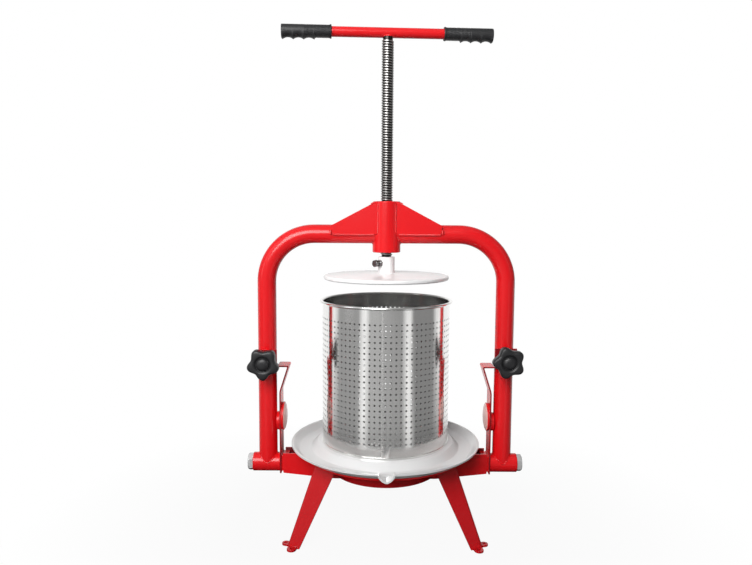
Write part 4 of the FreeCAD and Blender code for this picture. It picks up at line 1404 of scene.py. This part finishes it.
class FRUITPRESS_OT_stage(PressOperator, Operator):
    """Pale floor, soft studio light and the camera"""

    bl_idname = "fruitpress.stage"
    bl_label = "Stage"

    def build(self, settings):
        studio = settings.studio
        scene = bpy.context.scene
        scene.view_settings.view_transform = "Standard"
        self.floor()
        self.world(studio)
        self.lamp("Key light", (-0.75, -1.95, 1.65), (0, 0, 0.75), 1.6, 1.4, studio.key_power, 120)
        for side, sign, power in (("left", -1, studio.left_power), ("right", 1, studio.right_power)):
            self.lamp("Side light " + side, (2.2 * sign, -0.95, 1.3), (0, 0, 0.5), 0.8, 1.8, power)
        self.lamp("Top light", (-0.3, -0.5, 2.6), (0, 0, 0.4), 3.2, 2.6, studio.top_power)
        camera = bpy.data.objects.new("Camera", bpy.data.cameras.new("Camera"))
        scene.collection.objects.link(camera)
        camera.data.sensor_width = 36
        camera.data.lens = studio.lens
        pitch = Matrix.Rotation(math.radians(CAMERA_PITCH), 4, "X")
        roll = Matrix.Rotation(math.radians(CAMERA_ROLL), 4, "Z")
        camera.matrix_world = Matrix.Translation(CAMERA_PLACE) @ pitch @ roll
        scene.camera = camera

    def lamp(self, name, place, target, width, height, power, spread=180):
        light = bpy.data.lights.new(name, "AREA")
        light.shape = "RECTANGLE"
        light.size = width
        light.size_y = height
        light.energy = power
        light.spread = math.radians(spread)
        lamp = bpy.data.objects.new(name, light)
        bpy.context.scene.collection.objects.link(lamp)
        lamp.location = place
        lamp.rotation_euler = (Vector(target) - Vector(place)).to_track_quat("-Z", "Y").to_euler()

    def mirrored_rays(self, grower, path):
        return grower.sum("MAXIMUM", path.outputs["Is Glossy Ray"], path.outputs["Is Transmission Ray"])

    def floor(self):
        """White floor that keeps the shadow; polished metal mirrors it darker in front, with a painted shadow
        near the object and two painted reflections of soft boxes as bright bands.
        """
        mesh = bpy.data.meshes.new("floor")
        mesh.from_pydata([(-6, -6, 0), (6, -6, 0), (6, 6, 0), (-6, 6, 0)], [], [(0, 1, 2, 3)])
        floor = bpy.data.objects.new("floor", mesh)
        bpy.context.scene.collection.objects.link(floor)
        material = bpy.data.materials.new("Pale floor")
        material.use_nodes = True
        tree = material.node_tree
        tree.nodes.clear()
        grower = Grower(tree)
        path = grower.add("ShaderNodeLightPath")
        grain = noise_of(grower, here(grower), 40.0)
        tone = blend(grower, grain, grey(0.28), grey(0.31))
        matt = grower.add("ShaderNodeBsdfDiffuse", {"Color": tone})
        x, y, _ = grower.parts(here(grower))
        azimuth = grower.sum("ARCTAN2", x, y * -1.0)
        off_centre = grower.sum("ABSOLUTE", grower.sum("ABSOLUTE", azimuth) - SOFT_BOX_AZIMUTH)
        # Two bright bands seen only in reflections: painted reflections of the soft boxes.
        sheen = clamped(grower, 1.4 - off_centre / 0.13)
        behind = clamped(grower, y * 1.6 + 0.1)
        leftward = clamped(grower, 0.4 - azimuth * 1.6)
        middle = clamped(grower, 2.2 - grower.sum("ABSOLUTE", azimuth) / 0.3)
        front = grower.mix(leftward, 0.25, 0.34) + middle * 0.12
        away = grower.sum("SQRT", x * x + y * y)
        # Darker near the object in what metal mirrors: a painted shadow.
        shaded = clamped(grower, (away - 0.45) * 2.0 + 0.1)
        mirrored = grower.mix(grower.sum("MAXIMUM", sheen, behind), front, 1.0) * shaded
        strength = grower.mix(Field(grower, path.outputs["Is Glossy Ray"]), 1.0, mirrored)
        glow = grower.add("ShaderNodeEmission", {"Color": grey(1.0), "Strength": strength})
        seen = grower.sum("MAXIMUM", path.outputs["Is Camera Ray"], self.mirrored_rays(grower, path))
        fade = clamped(grower, (away - 0.3) * 2.2)
        mixed = grower.add(
            "ShaderNodeMixShader", {0: seen * (fade * 0.06 + 0.94), 1: matt.outputs[0], 2: glow.outputs[0]}
        )
        grower.add("ShaderNodeOutputMaterial", {0: mixed.outputs[0]})
        mesh.materials.append(material)

    def world(self, studio):
        """White backdrop to look at, a dimmer room in front, and even light on the object."""
        world = bpy.data.worlds.new("Studio")
        bpy.context.scene.world = world
        world.use_nodes = True
        tree = world.node_tree
        tree.nodes.clear()
        grower = Grower(tree)
        path = grower.add("ShaderNodeLightPath")
        direction = grower.parts(grower.add("ShaderNodeTexCoord").outputs["Generated"])
        back = clamped(grower, direction[1] * 2.5 - 1.25)
        leftward = clamped(grower, 0.3 - direction[0] * 1.2)
        front = blend(grower, leftward, grey(0.19), grey(0.38))
        tone = blend(grower, back, front, grey(1.0))
        seen = grower.add("ShaderNodeBackground", {"Color": grey(1.0), "Strength": 1.0})
        shown = grower.add("ShaderNodeBackground", {"Color": tone, "Strength": 1.0})
        even = grower.add("ShaderNodeBackground", {"Color": grey(1.0), "Strength": studio.room_light})
        glossy = self.mirrored_rays(grower, path)
        mixed = grower.add("ShaderNodeMixShader", {0: glossy, 1: even.outputs[0], 2: shown.outputs[0]})
        mixed = grower.add(
            "ShaderNodeMixShader", {0: path.outputs["Is Camera Ray"], 1: mixed.outputs[0], 2: seen.outputs[0]}
        )
        grower.add("ShaderNodeOutputWorld", {0: mixed.outputs[0]})


PIECES = (
    FRUITPRESS_OT_frame,
    FRUITPRESS_OT_brackets,
    FRUITPRESS_OT_yoke,
    FRUITPRESS_OT_tray,
    FRUITPRESS_OT_basket,
    FRUITPRESS_OT_spindle,
    FRUITPRESS_OT_handle,
    FRUITPRESS_OT_knobs,
    FRUITPRESS_OT_bolts,
    FRUITPRESS_OT_welds,
    FRUITPRESS_OT_stage,
)


class FRUITPRESS_PT_pieces(Panel):
    """Lists the pieces of the press"""

    bl_idname = "FRUITPRESS_PT_pieces"
    bl_label = "Fruit press"
    bl_space_type = "VIEW_3D"
    bl_region_type = "UI"
    bl_category = "Fruit press"

    def draw(self, context):
        for piece in PIECES:
            self.layout.operator(piece.bl_idname)


CLASSES = (
    FinishColours,
    ThreadSizes,
    BasketSizes,
    HandleSizes,
    WeldSizes,
    StudioSizes,
    PressSettings,
    *PIECES,
    FRUITPRESS_PT_pieces,
)


def register():
    for item in CLASSES:
        bpy.utils.register_class(item)
    bpy.types.Scene.fruit_press = PointerProperty(type=PressSettings)


def unregister():
    del bpy.types.Scene.fruit_press
    for item in reversed(CLASSES):
        bpy.utils.unregister_class(item)


def main():
    register()
    for piece in PIECES:
        group, name = piece.bl_idname.split(".")
        getattr(getattr(bpy.ops, group), name)()


if __name__ == "__main__":
    main()
